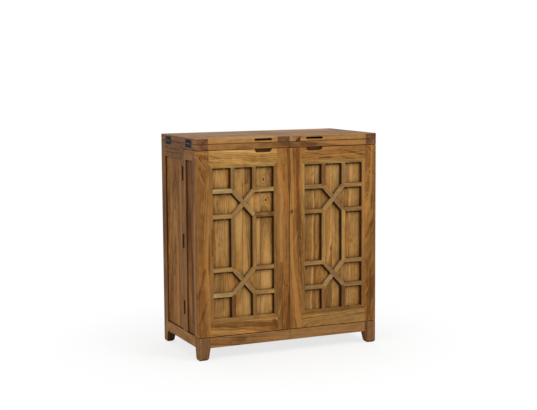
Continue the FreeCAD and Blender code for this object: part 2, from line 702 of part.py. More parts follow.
def carcass_pieces():
    stile = timber(
        "front_stile_left",
        (from_low(LEFT, "stile_thickness"), (CARCASS_FRONT, CARCASS_STILE_BACK), (BASE_TOP, TOP_FOOT)),
        cuts=[widened(SIDE_RAIL_TENONS[0], "joint_play"),
              (SIDE_GROOVE[0], SIDE_GROOVE[1], (BASE_TOP, SIDE_GROOVE[2][1]))]
        + door_hinge_cuts("front_stile", 1))
    side_rail = timber("side_top_rail_left", SIDE_RAIL, SIDE_RAIL_TENONS, [SIDE_GROOVE])
    side_panel = planked_panel(
        "side_panel_left",
        f"({POST_FRONT} - {CARCASS_STILE_BACK} + 2 * {PANEL_REACH})",
        f"({RAIL_FOOT} - {BASE_TOP} + groove_depth + {PANEL_REACH})", SIDE_PLANKS,
        (PANEL_OUTER, f"({POST_FRONT} + {PANEL_REACH})", f"({BASE_TOP} - groove_depth)"),
        frame_turn(-Y_AXIS, X_AXIS))
    back_panel = planked_panel(
        "back_panel", f"(-2 * {POST_INNER} + 2 * {PANEL_REACH})",
        f"({RAIL_FOOT} - {BASE_TOP} + groove_depth + {PANEL_REACH})", BACK_PLANKS,
        (f"(-{POST_INNER} + {PANEL_REACH})", BACK_PANEL_REAR, f"({BASE_TOP} - groove_depth)"),
        frame_turn(-X_AXIS, -Y_AXIS))
    return {
        "front_stile_left": stile,
        "front_stile_right": mirrored("front_stile_right", stile),
        "side_top_rail_left": side_rail,
        "side_top_rail_right": mirrored("side_top_rail_right", side_rail),
        "side_panel_left": side_panel,
        "side_panel_right": mirrored("side_panel_right", side_panel),
        "back_top_rail": timber("back_top_rail", BACK_RAIL,
                                [BACK_RAIL_TENON, twin_block(BACK_RAIL_TENON)], [BACK_GROOVE]),
        "back_panel": back_panel,
        "middle_shelf": middle_shelf(),
        "stemware_rails": stemware_rails(),
        "bottle_cradles": bottle_cradles(),
        "magnetic_catches": magnetic_catches(),
    }


def middle_shelf():
    """Full-depth shelf between the front stiles, notched round the rear posts."""
    height = (SHELF_FOOT, SHELF_TOP)
    corner = ((LEFT, f"({POST_INNER} + joint_play)"), (f"({POST_FRONT} - joint_play)", BACK), height)
    board = (across_middle(CARCASS_STILE_INNER),
             (f"({CARCASS_FRONT} + shelf_setback)", BACK_PANEL_FRONT), height)
    return timber("middle_shelf", board, cuts=[corner, twin_block(corner)])


def stemware_rails():
    """Rails of T section under the fixed top; glass feet slide in between their flanges."""
    start = f"({CARCASS_FRONT} + hanger_setback)"
    front_of_back_rail = f"({BACK} - rail_thickness)"
    rails = []
    for index in range(HANGERS):
        body = new_body(f"stemware_rail_{index + 1}")
        section = outline(body, "XZ_Plane", "section", [
            ("(-hanger_web / 2)", "0"), ("(-hanger_web / 2)", "(flange_thickness - hanger_height)"),
            ("(-hanger_flange / 2)", "(flange_thickness - hanger_height)"),
            ("(-hanger_flange / 2)", "(-hanger_height)"), ("(hanger_flange / 2)", "(-hanger_height)"),
            ("(hanger_flange / 2)", "(flange_thickness - hanger_height)"),
            ("(hanger_web / 2)", "(flange_thickness - hanger_height)"), ("(hanger_web / 2)", "0")])
        extruded(body, "Pad", "rail", section, f"{front_of_back_rail} - {start} - hanger_end_gap")
        from_middle = index - (HANGERS - 1) / 2
        put(body, (f"({from_middle} * hanger_pitch)", start, TOP_FOOT))
        rails.append(body)
    return group("stemware_rails", rails)


def bottle_cradles():
    """Two scalloped boards on the deck that hold a row of lying bottles."""
    places = (f"({CARCASS_FRONT} + cradle_setback)",
              f"({BACK_PANEL_FRONT} - cradle_back_gap - cradle_thickness)")
    boards = []
    for index, place in enumerate(places, start=1):
        body = new_body(f"bottle_cradle_{index}")
        face = outline(body, "XZ_Plane", "board_outline", rectangle(
            POST_INNER, "0", f"(-{POST_INNER})", "cradle_height"))
        extruded(body, "Pad", "board", face, "cradle_thickness")
        first = f"(-bottle_pitch * {(BOTTLES - 1) / 2})"
        bottle = ring(body, "XZ_Plane", "bottle_outline", "bottle_radius",
                      (first, "(cradle_height + bottle_rise)"))
        scallop = extruded(body, "Pocket", "scallop", bottle, "cradle_thickness")
        patterned(body, "scallops", scallop, "H_Axis", "bottle_pitch", BOTTLES)
        put(body, ("0", place, BASE_TOP))
        boards.append(body)
    return group("bottle_cradles", boards)


def magnetic_catches():
    """A catch on the deck behind the lower inner corner of each door."""
    left = box("magnetic_catch_left", (
        to_high("(-catch_inset)", "catch_length"),
        from_low(f"({CARCASS_FRONT} + catch_gap)", "catch_depth"), from_low(BASE_TOP, "catch_height")))
    return group("magnetic_catches", [left, mirrored("magnetic_catch_right", left)])


# Fixed top and leaves


def tongue(end, height, toward):
    """Stopped tongue of a board in the end cleat beside it."""
    low, high = height
    run = from_low(end, "tongue_length") if toward > 0 else to_high(end, "tongue_length")
    return (run, (f"({FRONT} + tongue_inset)", f"({BACK} - tongue_inset)"),
            centred(f"(({low} + {high}) / 2)", "tongue_thickness"))


FULL_DEPTH = (FRONT, BACK)
TOP_HEIGHT = (TOP_FOOT, TOP_FACE)
LEAF_HEIGHT = (LEAF_FOOT, "cabinet_height")
TOP_TONGUE = tongue(CLEAT_INNER, TOP_HEIGHT, -1)


def fixed_top_pieces():
    board = timber("fixed_top_board", (across_middle(CLEAT_INNER), FULL_DEPTH, TOP_HEIGHT),
                   [TOP_TONGUE, twin_block(TOP_TONGUE)])
    cleat = timber("fixed_top_cleat_left", ((LEFT, CLEAT_INNER), FULL_DEPTH, TOP_HEIGHT),
                   cuts=[widened(TOP_TONGUE, "joint_play")] + leaf_hinge_cuts("fixed_top_cleat", -1))
    return {
        "fixed_top_board": board,
        "fixed_top_cleats": group("fixed_top_cleats", [
            cleat, mirrored("fixed_top_cleat_right", cleat)]),
    }


def finger_slot():
    """Round-ended slot that a finger reaches into, cut in the leaf's front edge."""
    level = f"({LEAF_FOOT} + slot_lip + slot_height / 2)"
    straight = "(slot_width - slot_height)"
    ends = [f"(-finger_centre + {side} * {straight} / 2)" for side in (-1, 1)]
    run = (FRONT, f"({FRONT} + slot_depth)")
    rounds = [rod("slot_end", "(slot_height / 2)", (end, f"({FRONT} + slot_depth / 2)", level),
                  "slot_depth", LIE_ALONG_Y, (0, 1, 0)) for end in ends]
    middle = box("slot_middle", (centred("(-finger_centre)", straight), run,
                                 centred(level, "slot_height")))
    return merged("finger_slot", [middle] + rounds)


def leaf_pieces(moving_plates):
    inner_end = f"({MIDDLE_EDGE} - inner_cleat_width)"
    outer_tongue = tongue(CLEAT_INNER, LEAF_HEIGHT, -1)
    inner_tongue = tongue(inner_end, LEAF_HEIGHT, 1)
    board = timber("left_leaf_board", ((CLEAT_INNER, inner_end), FULL_DEPTH, LEAF_HEIGHT),
                   [outer_tongue, inner_tongue], [finger_slot()])
    outer = timber("left_leaf_outer_cleat", ((LEFT, CLEAT_INNER), FULL_DEPTH, LEAF_HEIGHT),
                   cuts=[widened(outer_tongue, "joint_play")] + leaf_hinge_cuts("leaf_cleat", 1))
    inner = timber("left_leaf_inner_cleat", ((inner_end, MIDDLE_EDGE), FULL_DEPTH, LEAF_HEIGHT),
                   cuts=[widened(inner_tongue, "joint_play")])
    return {
        "leaf_board": board,
        "leaf_cleats": group("left_leaf_cleats", [outer, inner]),
        "leaf_hinge_plates": group("left_leaf_hinge_plates", moving_plates),
    }


# Doors

TOP_RAIL = ((STILE_INNER, MEETING_INNER), (FRONT, FRAME_BACK), (TOP_RAIL_FOOT, DOOR_HEAD))
BOTTOM_RAIL = ((STILE_INNER, MEETING_INNER), (FRONT, FRAME_BACK), (DOOR_FOOT, BOTTOM_RAIL_TOP))
OUTER_TENONS = [tenon_of(0, STILE_INNER, rail, -1) for rail in (TOP_RAIL, BOTTOM_RAIL)]
MEETING_TENONS = [tenon_of(0, MEETING_INNER, rail, 1) for rail in (TOP_RAIL, BOTTOM_RAIL)]


def notched_rail():
    """Blank of the top rail, with the round-cornered finger notch in its upper edge."""
    body = new_body("notched_rail")
    low, high = centred("(-finger_centre)", "notch_width")
    floor = f"({DOOR_HEAD} - notch_depth)"
    face = outline(body, "XZ_Plane", "rail_outline", [
        (STILE_INNER, TOP_RAIL_FOOT), (MEETING_INNER, TOP_RAIL_FOOT), (MEETING_INNER, DOOR_HEAD),
        (high, DOOR_HEAD), (high, floor), (low, floor), (low, DOOR_HEAD), (STILE_INNER, DOOR_HEAD)])
    pad = extruded(body, "Pad", "rail", face, "frame_thickness")
    ends = [float(pad.evalExpression(tied(text))) for text in (low, high)]
    level = float(pad.evalExpression(tied(floor)))
    slack = dims.get("notch_round") / 2

    def at_notch_floor(edge):
        middle = edge.CenterOfMass
        runs_back = edge.BoundBox.YLength > slack and edge.BoundBox.ZLength < slack
        beside = min(abs(middle.x - end) for end in ends) < slack and edge.BoundBox.XLength < slack
        return runs_back and beside and abs(middle.z - level) < slack

    dressed(body, "Fillet", "soft_notch", pad, "notch_round", at_notch_floor)
    put(body, ("0", FRONT, "0"))
    return body


def front_frame():
    stile = timber("left_door_outer_stile", (
        (LEFT, STILE_INNER), (FRONT, FRAME_BACK), (DOOR_FOOT, DOOR_HEAD)),
        cuts=[widened(tenon, "joint_play") for tenon in OUTER_TENONS] + [DOOR_RABBET])
    meeting = timber("left_door_meeting_stile", (
        (MEETING_INNER, MIDDLE_EDGE), (FRONT, FRAME_BACK), (DOOR_FOOT, DOOR_HEAD)),
        cuts=[widened(tenon, "joint_play") for tenon in MEETING_TENONS] + [DOOR_RABBET])
    top = timber("left_door_top_rail", notched_rail(), [OUTER_TENONS[0], MEETING_TENONS[0]],
                 [DOOR_RABBET])
    bottom = timber("left_door_bottom_rail", BOTTOM_RAIL, [OUTER_TENONS[1], MEETING_TENONS[1]],
                    [DOOR_RABBET])
    panel = planked_panel(
        "left_door_panel", f"({MEETING_INNER} - {STILE_INNER} + 2 * {PANEL_REACH})",
        f"({TOP_RAIL_FOOT} - {BOTTOM_RAIL_TOP} + groove_depth + {PANEL_REACH})", DOOR_PLANKS,
        (f"({STILE_INNER} - {PANEL_REACH})", DOOR_PANEL_FACE, f"({BOTTOM_RAIL_TOP} - groove_depth)"),
        UPRIGHT)
    return {
        "door_outer_stile": stile,
        "door_meeting_stile": meeting,
        "door_top_rail": top,
        "door_bottom_rail": bottom,
        "door_panel": panel,
    }


# Lattice of mitred and half-lapped bars, flush with the front frame.
# Round the middle line stand two broken uprights; short level bars tie them to the border,
# and where an upright stops, a pair of crossed bars changes sides.

OPEN_LEFT = f"({STILE_INNER} + lattice_border)"
OPEN_RIGHT = f"({MEETING_INNER} - lattice_border)"
OPEN_LOW = f"({BOTTOM_RAIL_TOP} + lattice_border)"
OPEN_HIGH = f"({TOP_RAIL_FOOT} - lattice_border)"
LATTICE_MIDDLE = f"(({OPEN_LEFT} + {OPEN_RIGHT}) / 2)"
LATTICE_THICKNESS = "(frame_thickness - panel_thickness)"
CROSS_A_HIGH = f"({OPEN_HIGH} - lattice_top_cell)"
CROSS_A_LOW = f"({CROSS_A_HIGH} - lattice_cross)"
CROSS_B_LOW = f"({OPEN_LOW} + lattice_bottom_cell)"
CROSS_B_HIGH = f"({CROSS_B_LOW} + lattice_cross)"
BAR_HALF = "(lattice_bar / 2)"
CROSS_WIDTH = "(2 * lattice_half_gap)"
CROSS_LENGTH = f"sqrt({CROSS_WIDTH} ^ 2 + lattice_cross ^ 2)"
# A mitre starts this far from the joint, where a crossed bar meets an upright or a level bar.
UPRIGHT_MITRE = f"({BAR_HALF} * {CROSS_WIDTH} / ({CROSS_LENGTH} + lattice_cross))"
LEVEL_MITRE = f"({BAR_HALF} * lattice_cross / ({CROSS_LENGTH} + {CROSS_WIDTH}))"


def flat_bar(label, corners):
    """A bar cut to an outline in the plane of the lattice."""
    body = new_body(label)
    face = outline(body, "XZ_Plane", "bar_outline", corners)
    extruded(body, "Pad", "bar", face, LATTICE_THICKNESS)
    put(body, ("0", FRONT, "0"))
    return body


def border_strips():
    """Four strips, mitred at the corners, that fill the door frame to the lattice opening."""
    outer_left = f"({STILE_INNER} + lattice_play)"
    outer_right = f"({MEETING_INNER} - lattice_play)"
    outer_low = f"({BOTTOM_RAIL_TOP} + lattice_play)"
    outer_high = f"({TOP_RAIL_FOOT} - lattice_play)"
    outer = rectangle(outer_left, outer_low, outer_right, outer_high)
    inner = rectangle(OPEN_LEFT, OPEN_LOW, OPEN_RIGHT, OPEN_HIGH)
    strips = []
    for index, side in enumerate(("low", "right", "high", "left")):
        ahead = (index + 1) % len(outer)
        strips.append(flat_bar(f"border_{side}", [
            outer[index], outer[ahead], inner[ahead], inner[index]]))
    return strips


def upright_bars(side):
    """Three lengths of one upright; side is -1 left of the middle, +1 right of it."""
    line = f"({LATTICE_MIDDLE} + {side} * lattice_half_gap)"
    outer = f"({line} + {side} * {BAR_HALF})"
    inner = f"({line} - {side} * {BAR_HALF})"

    def mitred_foot(level):
        return [(outer, f"({level} + {BAR_HALF})"), (line, level), (inner, f"({level} + {UPRIGHT_MITRE})")]

    def mitred_head(level):
        return [(inner, f"({level} - {UPRIGHT_MITRE})"), (line, level), (outer, f"({level} - {BAR_HALF})")]

    square_foot = [(outer, OPEN_LOW), (inner, OPEN_LOW)]
    square_head = [(inner, OPEN_HIGH), (outer, OPEN_HIGH)]
    return [
        flat_bar("upright_low", square_foot + mitred_head(CROSS_B_LOW)),
        flat_bar("upright_middle", mitred_foot(CROSS_B_HIGH) + mitred_head(CROSS_A_LOW)),
        flat_bar("upright_high", mitred_foot(CROSS_A_HIGH) + square_head),
    ]


def level_bar(side, level, upward):
    """Short bar from the border to the joint; upward is +1 where the upright rises from it."""
    border = OPEN_LEFT if side < 0 else OPEN_RIGHT
    line = f"({LATTICE_MIDDLE} + {side} * lattice_half_gap)"
    near = f"({level} + {upward} * {BAR_HALF})"
    far = f"({level} - {upward} * {BAR_HALF})"
    return flat_bar("level_bar", [
        (border, near), (f"({line} + {side} * {BAR_HALF})", near), (line, level),
        (f"({line} + {side} * {LEVEL_MITRE})", far), (border, far)])


def crossed_bar(start_level, rising, in_front):
    """Slanting bar of a crossing, halved where its twin passes; rising is +1 or -1."""
    body = new_body("crossed_bar")
    length = CROSS_LENGTH
    over, under = (LEVEL_MITRE, UPRIGHT_MITRE) if rising > 0 else (UPRIGHT_MITRE, LEVEL_MITRE)
    face = outline(body, "XZ_Plane", "bar_outline", [
        ("0", "0"), (under, f"(-{BAR_HALF})"), (f"({length} - {over})", f"(-{BAR_HALF})"),
        (length, "0"), (f"({length} - {under})", BAR_HALF), (over, BAR_HALF)])
    extruded(body, "Pad", "bar", face, LATTICE_THICKNESS)
    # The twin bar's strip, in this bar's own frame.
    half = f"({BAR_HALF} + lap_play)"
    spread = f"({CROSS_LENGTH} ^ 2 / (2 * {CROSS_WIDTH} * lattice_cross))"
    lean = f"(({CROSS_WIDTH} ^ 2 - lattice_cross ^ 2) / (2 * {CROSS_WIDTH} * lattice_cross))"
    corners = []
    for near, high in ((-1, -1), (1, -1), (1, 1), (-1, 1)):
        level = f"({high} * lattice_bar)"
        corners.append((f"({length} / 2 - {rising} * ({near} * {half} * {spread} + {level} * {lean}))",
                        level))
    back_half = f"({LATTICE_THICKNESS} / 2)"
    lap = outline(body, "XZ_Plane", "lap_outline", corners, back_half if in_front else "0")
    extruded(body, "Pocket", "lap", lap, back_half)
    slope = f"atan(lattice_cross / {CROSS_WIDTH})"
    turn = FreeCAD.Rotation(-rising * Y_AXIS, float(body.evalExpression(tied(slope))))
    put(body, (f"({LATTICE_MIDDLE} - lattice_half_gap)", FRONT, start_level), turn)
    tie(body, "Placement.Rotation.Angle", slope)
    return body


def lattice():
    bars = border_strips()
    for side in (-1, 1):
        bars += upright_bars(side)
        for level, upward in ((CROSS_A_HIGH, 1), (CROSS_A_LOW, -1), (CROSS_B_HIGH, 1), (CROSS_B_LOW, -1)):
            bars.append(level_bar(side, level, upward))
    bars.append(crossed_bar(CROSS_A_HIGH, -1, True))
    bars.append(crossed_bar(CROSS_A_LOW, 1, False))
    bars.append(crossed_bar(CROSS_B_HIGH, -1, False))
    bars.append(crossed_bar(CROSS_B_LOW, 1, True))
    return group("left_door_lattice", bars)


# Side and inside of a door


def door_side():
    """Two stiles and a top rail on the outer side, with the panel between them."""
    rail = (from_low(LEFT, "side_thickness"), (SIDE_STILE_BACK, SIDE_REAR_FRONT),
            (SIDE_RAIL_FOOT, DOOR_HEAD))
    tenons = [tenon_of(1, SIDE_STILE_BACK, rail, -1), tenon_of(1, SIDE_REAR_FRONT, rail, 1)]
    sockets = [widened(tenon, "joint_play") for tenon in tenons]
    front = timber("left_door_side_front_stile", (
        from_low(LEFT, "side_thickness"), (FRAME_BACK, SIDE_STILE_BACK), (DOOR_FOOT, DOOR_HEAD)),
        cuts=[sockets[0], DOOR_SIDE_GROOVE])
    rear = timber("left_door_side_rear_stile", (
        from_low(LEFT, "side_thickness"), (SIDE_REAR_FRONT, DOOR_REAR), (DOOR_FOOT, DOOR_HEAD)),
        cuts=[sockets[1], DOOR_SIDE_GROOVE] + door_hinge_cuts("door_side_rear_stile", -1))
    top = timber("left_door_side_top_rail", rail, tenons, [DOOR_SIDE_GROOVE])
    panel = planked_panel(
        "left_door_side_panel", f"({SIDE_REAR_FRONT} - {SIDE_STILE_BACK} + 2 * {PANEL_REACH})",
        f"({SIDE_RAIL_FOOT} - {DOOR_FOOT} + {PANEL_REACH})", DOOR_SIDE_PLANKS,
        (PANEL_OUTER, f"({SIDE_REAR_FRONT} + {PANEL_REACH})", DOOR_FOOT),
        frame_turn(-Y_AXIS, X_AXIS))
    return {
        "door_side_frame": group("left_door_side_frame", [front, rear, top]),
        "door_side_panel": panel,
    }


BAY_WIDTH = (DOOR_SIDE_INNER, INNER_SIDE_FACE)
BAY_DEPTH = (FRAME_BACK, DOOR_REAR)


def door_inside():
    """Boards, shelves and gallery rails between the side and the board at the meeting edge."""
    inner_side = box("left_door_inner_side", (
        (INNER_SIDE_FACE, MIDDLE_EDGE), BAY_DEPTH, (DOOR_FOOT, DOOR_HEAD)))
    panel_seat = ((PANEL_INNER, DOOR_SIDE_INNER), (SIDE_STILE_BACK, SIDE_REAR_FRONT))
    floor_height = (DOOR_FOOT, DOOR_FLOOR)
    head_height = to_high(DOOR_TOP_BOARD, "end_board_thickness")
    floor = timber("left_door_floor", (BAY_WIDTH, BAY_DEPTH, floor_height),
                   [(*panel_seat, floor_height)])
    head = timber("left_door_head", (BAY_WIDTH, BAY_DEPTH, head_height))
    strip = box("left_door_top_strip", (
        BAY_WIDTH, from_low(f"({FRAME_BACK} + finger_hook)", "top_strip_thickness"),
        (DOOR_TOP_BOARD, DOOR_HEAD)))
    shelf_feet = [f"({DOOR_FOOT} + {rise})" for rise in ("lower_shelf_rise", "upper_shelf_rise")]
    shelf_depth = (FRAME_BACK, f"({DOOR_REAR} - door_shelf_setback)")
    shelves = [box("left_door_shelf", (BAY_WIDTH, shelf_depth, from_low(foot, "door_shelf_thickness")))
               for foot in shelf_feet]
    decks = [DOOR_FLOOR] + [f"({foot} + door_shelf_thickness)" for foot in shelf_feet]
    gallery_depth = to_high(f"({DOOR_REAR} - gallery_setback)", "gallery_thickness")
    galleries = [box("left_door_gallery", (
        BAY_WIDTH, gallery_depth, from_low(f"({deck} + gallery_rise)", "gallery_height")))
        for deck in decks]
    return {
        "door_inner_side": inner_side,
        "door_end_boards": group("left_door_end_boards", [floor, head, strip]),
        "door_shelves": group("left_door_shelves", shelves),
        "door_gallery_rails": group("left_door_gallery_rails", galleries),
    }


def both_sides(pieces):
    """Name each piece of the left side and make its right-hand twin."""
    nodes = {}
    for name, piece in pieces.items():
        piece.Label = f"left_{name}"
        nodes[f"left_{name}"] = piece
        nodes[f"right_{name}"] = mirrored(f"right_{name}", piece)
    return nodes


def build():
    """Every node of the cabinet, by name."""
    door_fixed, door_moving, door_pins = door_hinges()
    leaf_fixed, leaf_moving, leaf_pins = leaf_hinges()
    fixed_left = group("hinge_fixed_left", door_fixed + leaf_fixed)
    pins_left = group("hinge_pins_left", door_pins + leaf_pins)
    nodes = {
        **base_pieces(),
        **carcass_pieces(),
        **fixed_top_pieces(),
        "hinge_fixed_plates": group("hinge_fixed_plates", [
            fixed_left, mirrored("hinge_fixed_right", fixed_left)]),
        "hinge_pins": group("hinge_pins", [pins_left, mirrored("hinge_pins_right", pins_left)]),
    }
    door = {**front_frame(), "door_lattice": lattice(), **door_side(), **door_inside()}
    door["door_hinge_plates"] = group("left_door_hinge_plates", door_moving)
    nodes.update(both_sides(door))
    nodes.update(both_sides(leaf_pieces(leaf_moving)))
    return nodes


def check(nodes):
    """Stop unless every object is sound, every cut removes wood and every node is valid."""
    for thing in doc.Objects:
        if {"Invalid", "Error"} & set(thing.State):
            raise RuntimeError(f"{thing.Label} failed: {thing.State}")
        if thing.TypeId == "PartDesign::Pocket":
            if thing.Shape.Volume >= thing.BaseFeature.Shape.Volume:
                raise RuntimeError(f"{thing.Label} in {thing.getParentGeoFeatureGroup().Label} cuts nothing")
    for name, piece in nodes.items():
        if piece.Label != name:
            raise RuntimeError(f"{name} is labelled {piece.Label}")
        if piece.Shape.isNull() or not piece.Shape.isValid() or not piece.Shape.Solids:
            raise RuntimeError(f"{name} has no valid solid")


nodes = build()
doc.recompute()
check(nodes)
os.makedirs("parts", exist_ok=True)
for name, piece in nodes.items():
    piece.Shape.exportStep(f"parts/{name}.step")
print(len(nodes), "nodes,", sum(len(piece.Shape.Solids) for piece in nodes.values()), "solids")
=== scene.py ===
import json
import math
import random
from functools import partialmethod
from types import SimpleNamespace

import bmesh
import bpy
from mathutils import Matrix, Vector

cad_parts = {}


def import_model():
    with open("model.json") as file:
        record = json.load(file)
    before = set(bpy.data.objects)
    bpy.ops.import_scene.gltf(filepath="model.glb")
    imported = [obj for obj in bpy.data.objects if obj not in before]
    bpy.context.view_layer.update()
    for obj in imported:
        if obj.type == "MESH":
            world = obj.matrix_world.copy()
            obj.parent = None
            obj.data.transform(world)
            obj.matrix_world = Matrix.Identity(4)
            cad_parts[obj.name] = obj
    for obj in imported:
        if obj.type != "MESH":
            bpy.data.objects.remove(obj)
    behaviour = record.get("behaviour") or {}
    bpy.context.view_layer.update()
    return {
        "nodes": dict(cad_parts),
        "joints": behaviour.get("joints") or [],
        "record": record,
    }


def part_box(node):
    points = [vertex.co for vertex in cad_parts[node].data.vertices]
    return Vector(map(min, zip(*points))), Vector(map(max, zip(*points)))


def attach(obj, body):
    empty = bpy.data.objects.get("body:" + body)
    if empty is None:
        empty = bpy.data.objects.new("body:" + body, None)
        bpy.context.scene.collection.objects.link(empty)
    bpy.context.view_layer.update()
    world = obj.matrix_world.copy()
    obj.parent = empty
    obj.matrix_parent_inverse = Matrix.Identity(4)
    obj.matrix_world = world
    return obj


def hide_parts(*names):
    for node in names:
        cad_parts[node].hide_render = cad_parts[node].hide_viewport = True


# Fold-out bar cabinet in waxed solid wood. Metres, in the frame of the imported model.
# Each solid of the frame becomes a board with eased edges, with its own grain, tone and figure.

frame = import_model()
bodies = {node: body for body, nodes in frame["record"]["behaviour"]["bodies"].items() for node in nodes}
slots = {part["node"]: part["material_slot"] for part in frame["record"]["subparts"]}

X, Y, Z = Vector((1, 0, 0)), Vector((0, 1, 0)), Vector((0, 0, 1))
MM = 0.001

# Colours as they look in even light, red, green and blue out of 255.
GOLD = (164, 125, 73)
STRAW = (173, 134, 77)
PALE_KHAKI = (172, 144, 97)
DIM_KHAKI = (148, 116, 72)
DULL_KHAKI = (134, 104, 67)
ARM_KHAKI = (142, 112, 72)
BAR_GOLD = (157, 122, 70)
BORDER_STRAW = (210, 168, 96)
BORDER_GOLD = (168, 122, 69)
HONEY = (152, 111, 62)
AMBER = (139, 98, 52)
BROWN = (126, 88, 51)
CAP_BROWN = (126, 88, 56)
UPRIGHT_BROWN = (130, 96, 56)
DUSK_BROWN = (122, 92, 55)
LEG_BROWN = (121, 88, 59)
UMBER = (114, 80, 52)
RUSSET = (109, 74, 46)
CHEEK_BROWN = (119, 82, 49)
APRON_BROWN = (138, 101, 61)
FLANK_GOLD = (138, 98, 54)
HEARTWOOD = (66, 40, 24)
NOTCH_LIT_BROWN = (176, 140, 100)
# The colour of dark waxing, which also serves as painted shade.
DARK_WAX_AND_SHADE = (42, 24, 11)
IRON = (26, 24, 23)
WORN_GLINT_IRON = (76, 79, 84)
PIN_STEEL = (110, 107, 102)
SCREW_STEEL = (128, 123, 116)
CATCH_BLACK = (34, 34, 35)
FELT_BROWN = (42, 30, 21)
FLOOR_WHITE = (246, 246, 245)
FLOOR_FLECK = (238, 238, 237)
WHITE = (1, 1, 1, 1)


def linear(colour):
    """A colour out of 255 as the linear colour that a shader takes."""
    shares = [channel / 255 for channel in colour]
    return tuple(share / 12.92 if share <= 0.04045 else ((share + 0.055) / 1.055) ** 2.4 for share in shares)


def rgba(colour):
    return (*linear(colour), 1)


# Boards: the frame's solids, taken apart and eased


def solids_of(node):
    """The closed solids of a node, each as a list of triangles of corner points."""
    mesh = frame["nodes"][node].data
    corners = [tuple(round(value, 6) for value in vertex.co) for vertex in mesh.vertices]
    solids, triangles, open_edges = [], [], set()
    for polygon in mesh.polygons:
        triangle = [corners[index] for index in polygon.vertices]
        if len(set(triangle)) < len(triangle):
            continue
        triangles.append(triangle)
        for start, end in zip(triangle, triangle[1:] + triangle[:1]):
            if (end, start) in open_edges:
                open_edges.remove((end, start))
            else:
                open_edges.add((start, end))
        if not open_edges:
            solids.append(triangles)
            triangles = []
    return solids + ([triangles] if triangles else [])


def box_of(triangles):
    points = [point for triangle in triangles for point in triangle]
    low = Vector(min(point[axis] for point in points) for axis in range(3))
    high = Vector(max(point[axis] for point in points) for axis in range(3))
    return low, high


def grain_of(triangles):
    """Along the longest side of a squared board, or along a slanting bar."""
    low, high = box_of(triangles)
    size = high - low
    if min(size.x, size.z) > SLANT_SHARE * max(size.x, size.z) and size.y < size.x:
        points = [Vector(point) for triangle in triangles for point in triangle]
        middle = (low + high) / 2
        lean = sum((point.x - middle.x) * (point.z - middle.z) for point in points)
        return Vector((size.x, 0, math.copysign(size.z, lean))).normalized()
    longest = max(range(3), key=lambda axis: size[axis])
    return (X, Y, Z)[longest].copy()


SLANT_SHARE = 0.75
SQUARED_SHARE = 0.99
CROSSWISE_SHARE = 0.1
FLAT_ANGLE = math.radians(1)
SHARP_ANGLE = math.radians(30)
HARD_ANGLE = math.radians(60)
PROBE = 0.3 * MM


def rounded(shape, edges, ease, segments):
    """Round over some edges of a shape and give the new faces."""
    if not edges:
        return set()
    made = bmesh.ops.bevel(shape, geom=edges, offset=ease, offset_type="OFFSET", segments=segments,
                           profile=0.5, affect="EDGES", clamp_overlap=True)
    return set(made["faces"])


def sharp_edges(shape):
    return [edge for edge in shape.edges
            if edge.is_manifold and edge.is_convex and edge.calc_face_angle(0) > SHARP_ANGLE]


def in_box(point, box):
    low, high = box
    return all(low[axis] < point[axis] < high[axis] for axis in range(3))


def is_joint(edge, neighbours):
    """Whether another board lies flush against one of the edge's two faces."""
    middle = (edge.verts[0].co + edge.verts[1].co) / 2
    across = (edge.link_faces[0].normal - edge.link_faces[1].normal) * PROBE
    return any(in_box(middle + turn * across, box) for turn in (1, -1) for box in neighbours)


def is_outer(edge, low, high):
    """Whether an edge lies on two sides of its board's box, or on a leg's tapered end."""
    middle = (edge.verts[0].co + edge.verts[1].co) / 2
    sides = sum(min(abs(middle[axis] - low[axis]), abs(middle[axis] - high[axis])) < ON_SIDE
                for axis in range(3))
    return sides > 1 or (low.z < ON_SIDE and middle.z < TAPER_TOP)


ON_SIDE = 0.05 * MM
ON_LEVEL = 0.002 * MM
FOOT_LEVELS = [level * MM for level in (20, 14, 10.5, 7.5, 5, 3, 1.5, 0.5)]
FOOT_ROUND_OUTSIDE = 11 * MM
FOOT_ROUND_INSIDE = 13 * MM


def rounding(level, radius):
    """How far a foot's round side lies inside its straight side at a level."""
    return radius - math.sqrt(max(radius ** 2 - max(radius - level, 0) ** 2, 0))


def draw_in(row, axis, from_low, from_high):
    """Draw a level of a foot in from both its sides along one axis."""
    low, high = min(vertex.co[axis] for vertex in row), max(vertex.co[axis] for vertex in row)
    kept = 1 - (from_low + from_high) / (high - low)
    for vertex in row:
        vertex.co[axis] = low + from_low + (vertex.co[axis] - low) * kept


def straight_foot(shape, low, high):
    """Give a leg a plain lower end that carries on the taper above it."""
    cut = bmesh.ops.bisect_plane(shape, geom=shape.verts[:] + shape.edges[:] + shape.faces[:],
                                 dist=ON_LEVEL, plane_co=(0, 0, FOOT_LEVELS[0]), plane_no=(0, 0, 1),
                                 clear_inner=True)
    ring = [item for item in cut["geom_cut"] if isinstance(item, bmesh.types.BMEdge)]
    below = {}
    for edge in ring:
        for vertex in edge.verts:
            if vertex not in below:
                below[vertex] = shape.verts.new(vertex.co)
        start, end = edge.verts
        shape.faces.new((start, end, below[end], below[start]))
    row = list(below.values())
    drop = FOOT_LEVELS[0] / (TAPER_TOP - FOOT_LEVELS[0])
    for axis in (0, 1):
        near, far = min(vertex.co[axis] for vertex in row), max(vertex.co[axis] for vertex in row)
        draw_in(row, axis, (near - low[axis]) * drop, (high[axis] - far) * drop)
    for vertex in row:
        vertex.co.z = low.z
    sole = [edge for edge in shape.edges if all(vertex in row for vertex in edge.verts)]
    bmesh.ops.edgeloop_fill(shape, edges=sole)
    bmesh.ops.recalc_face_normals(shape, faces=shape.faces[:])


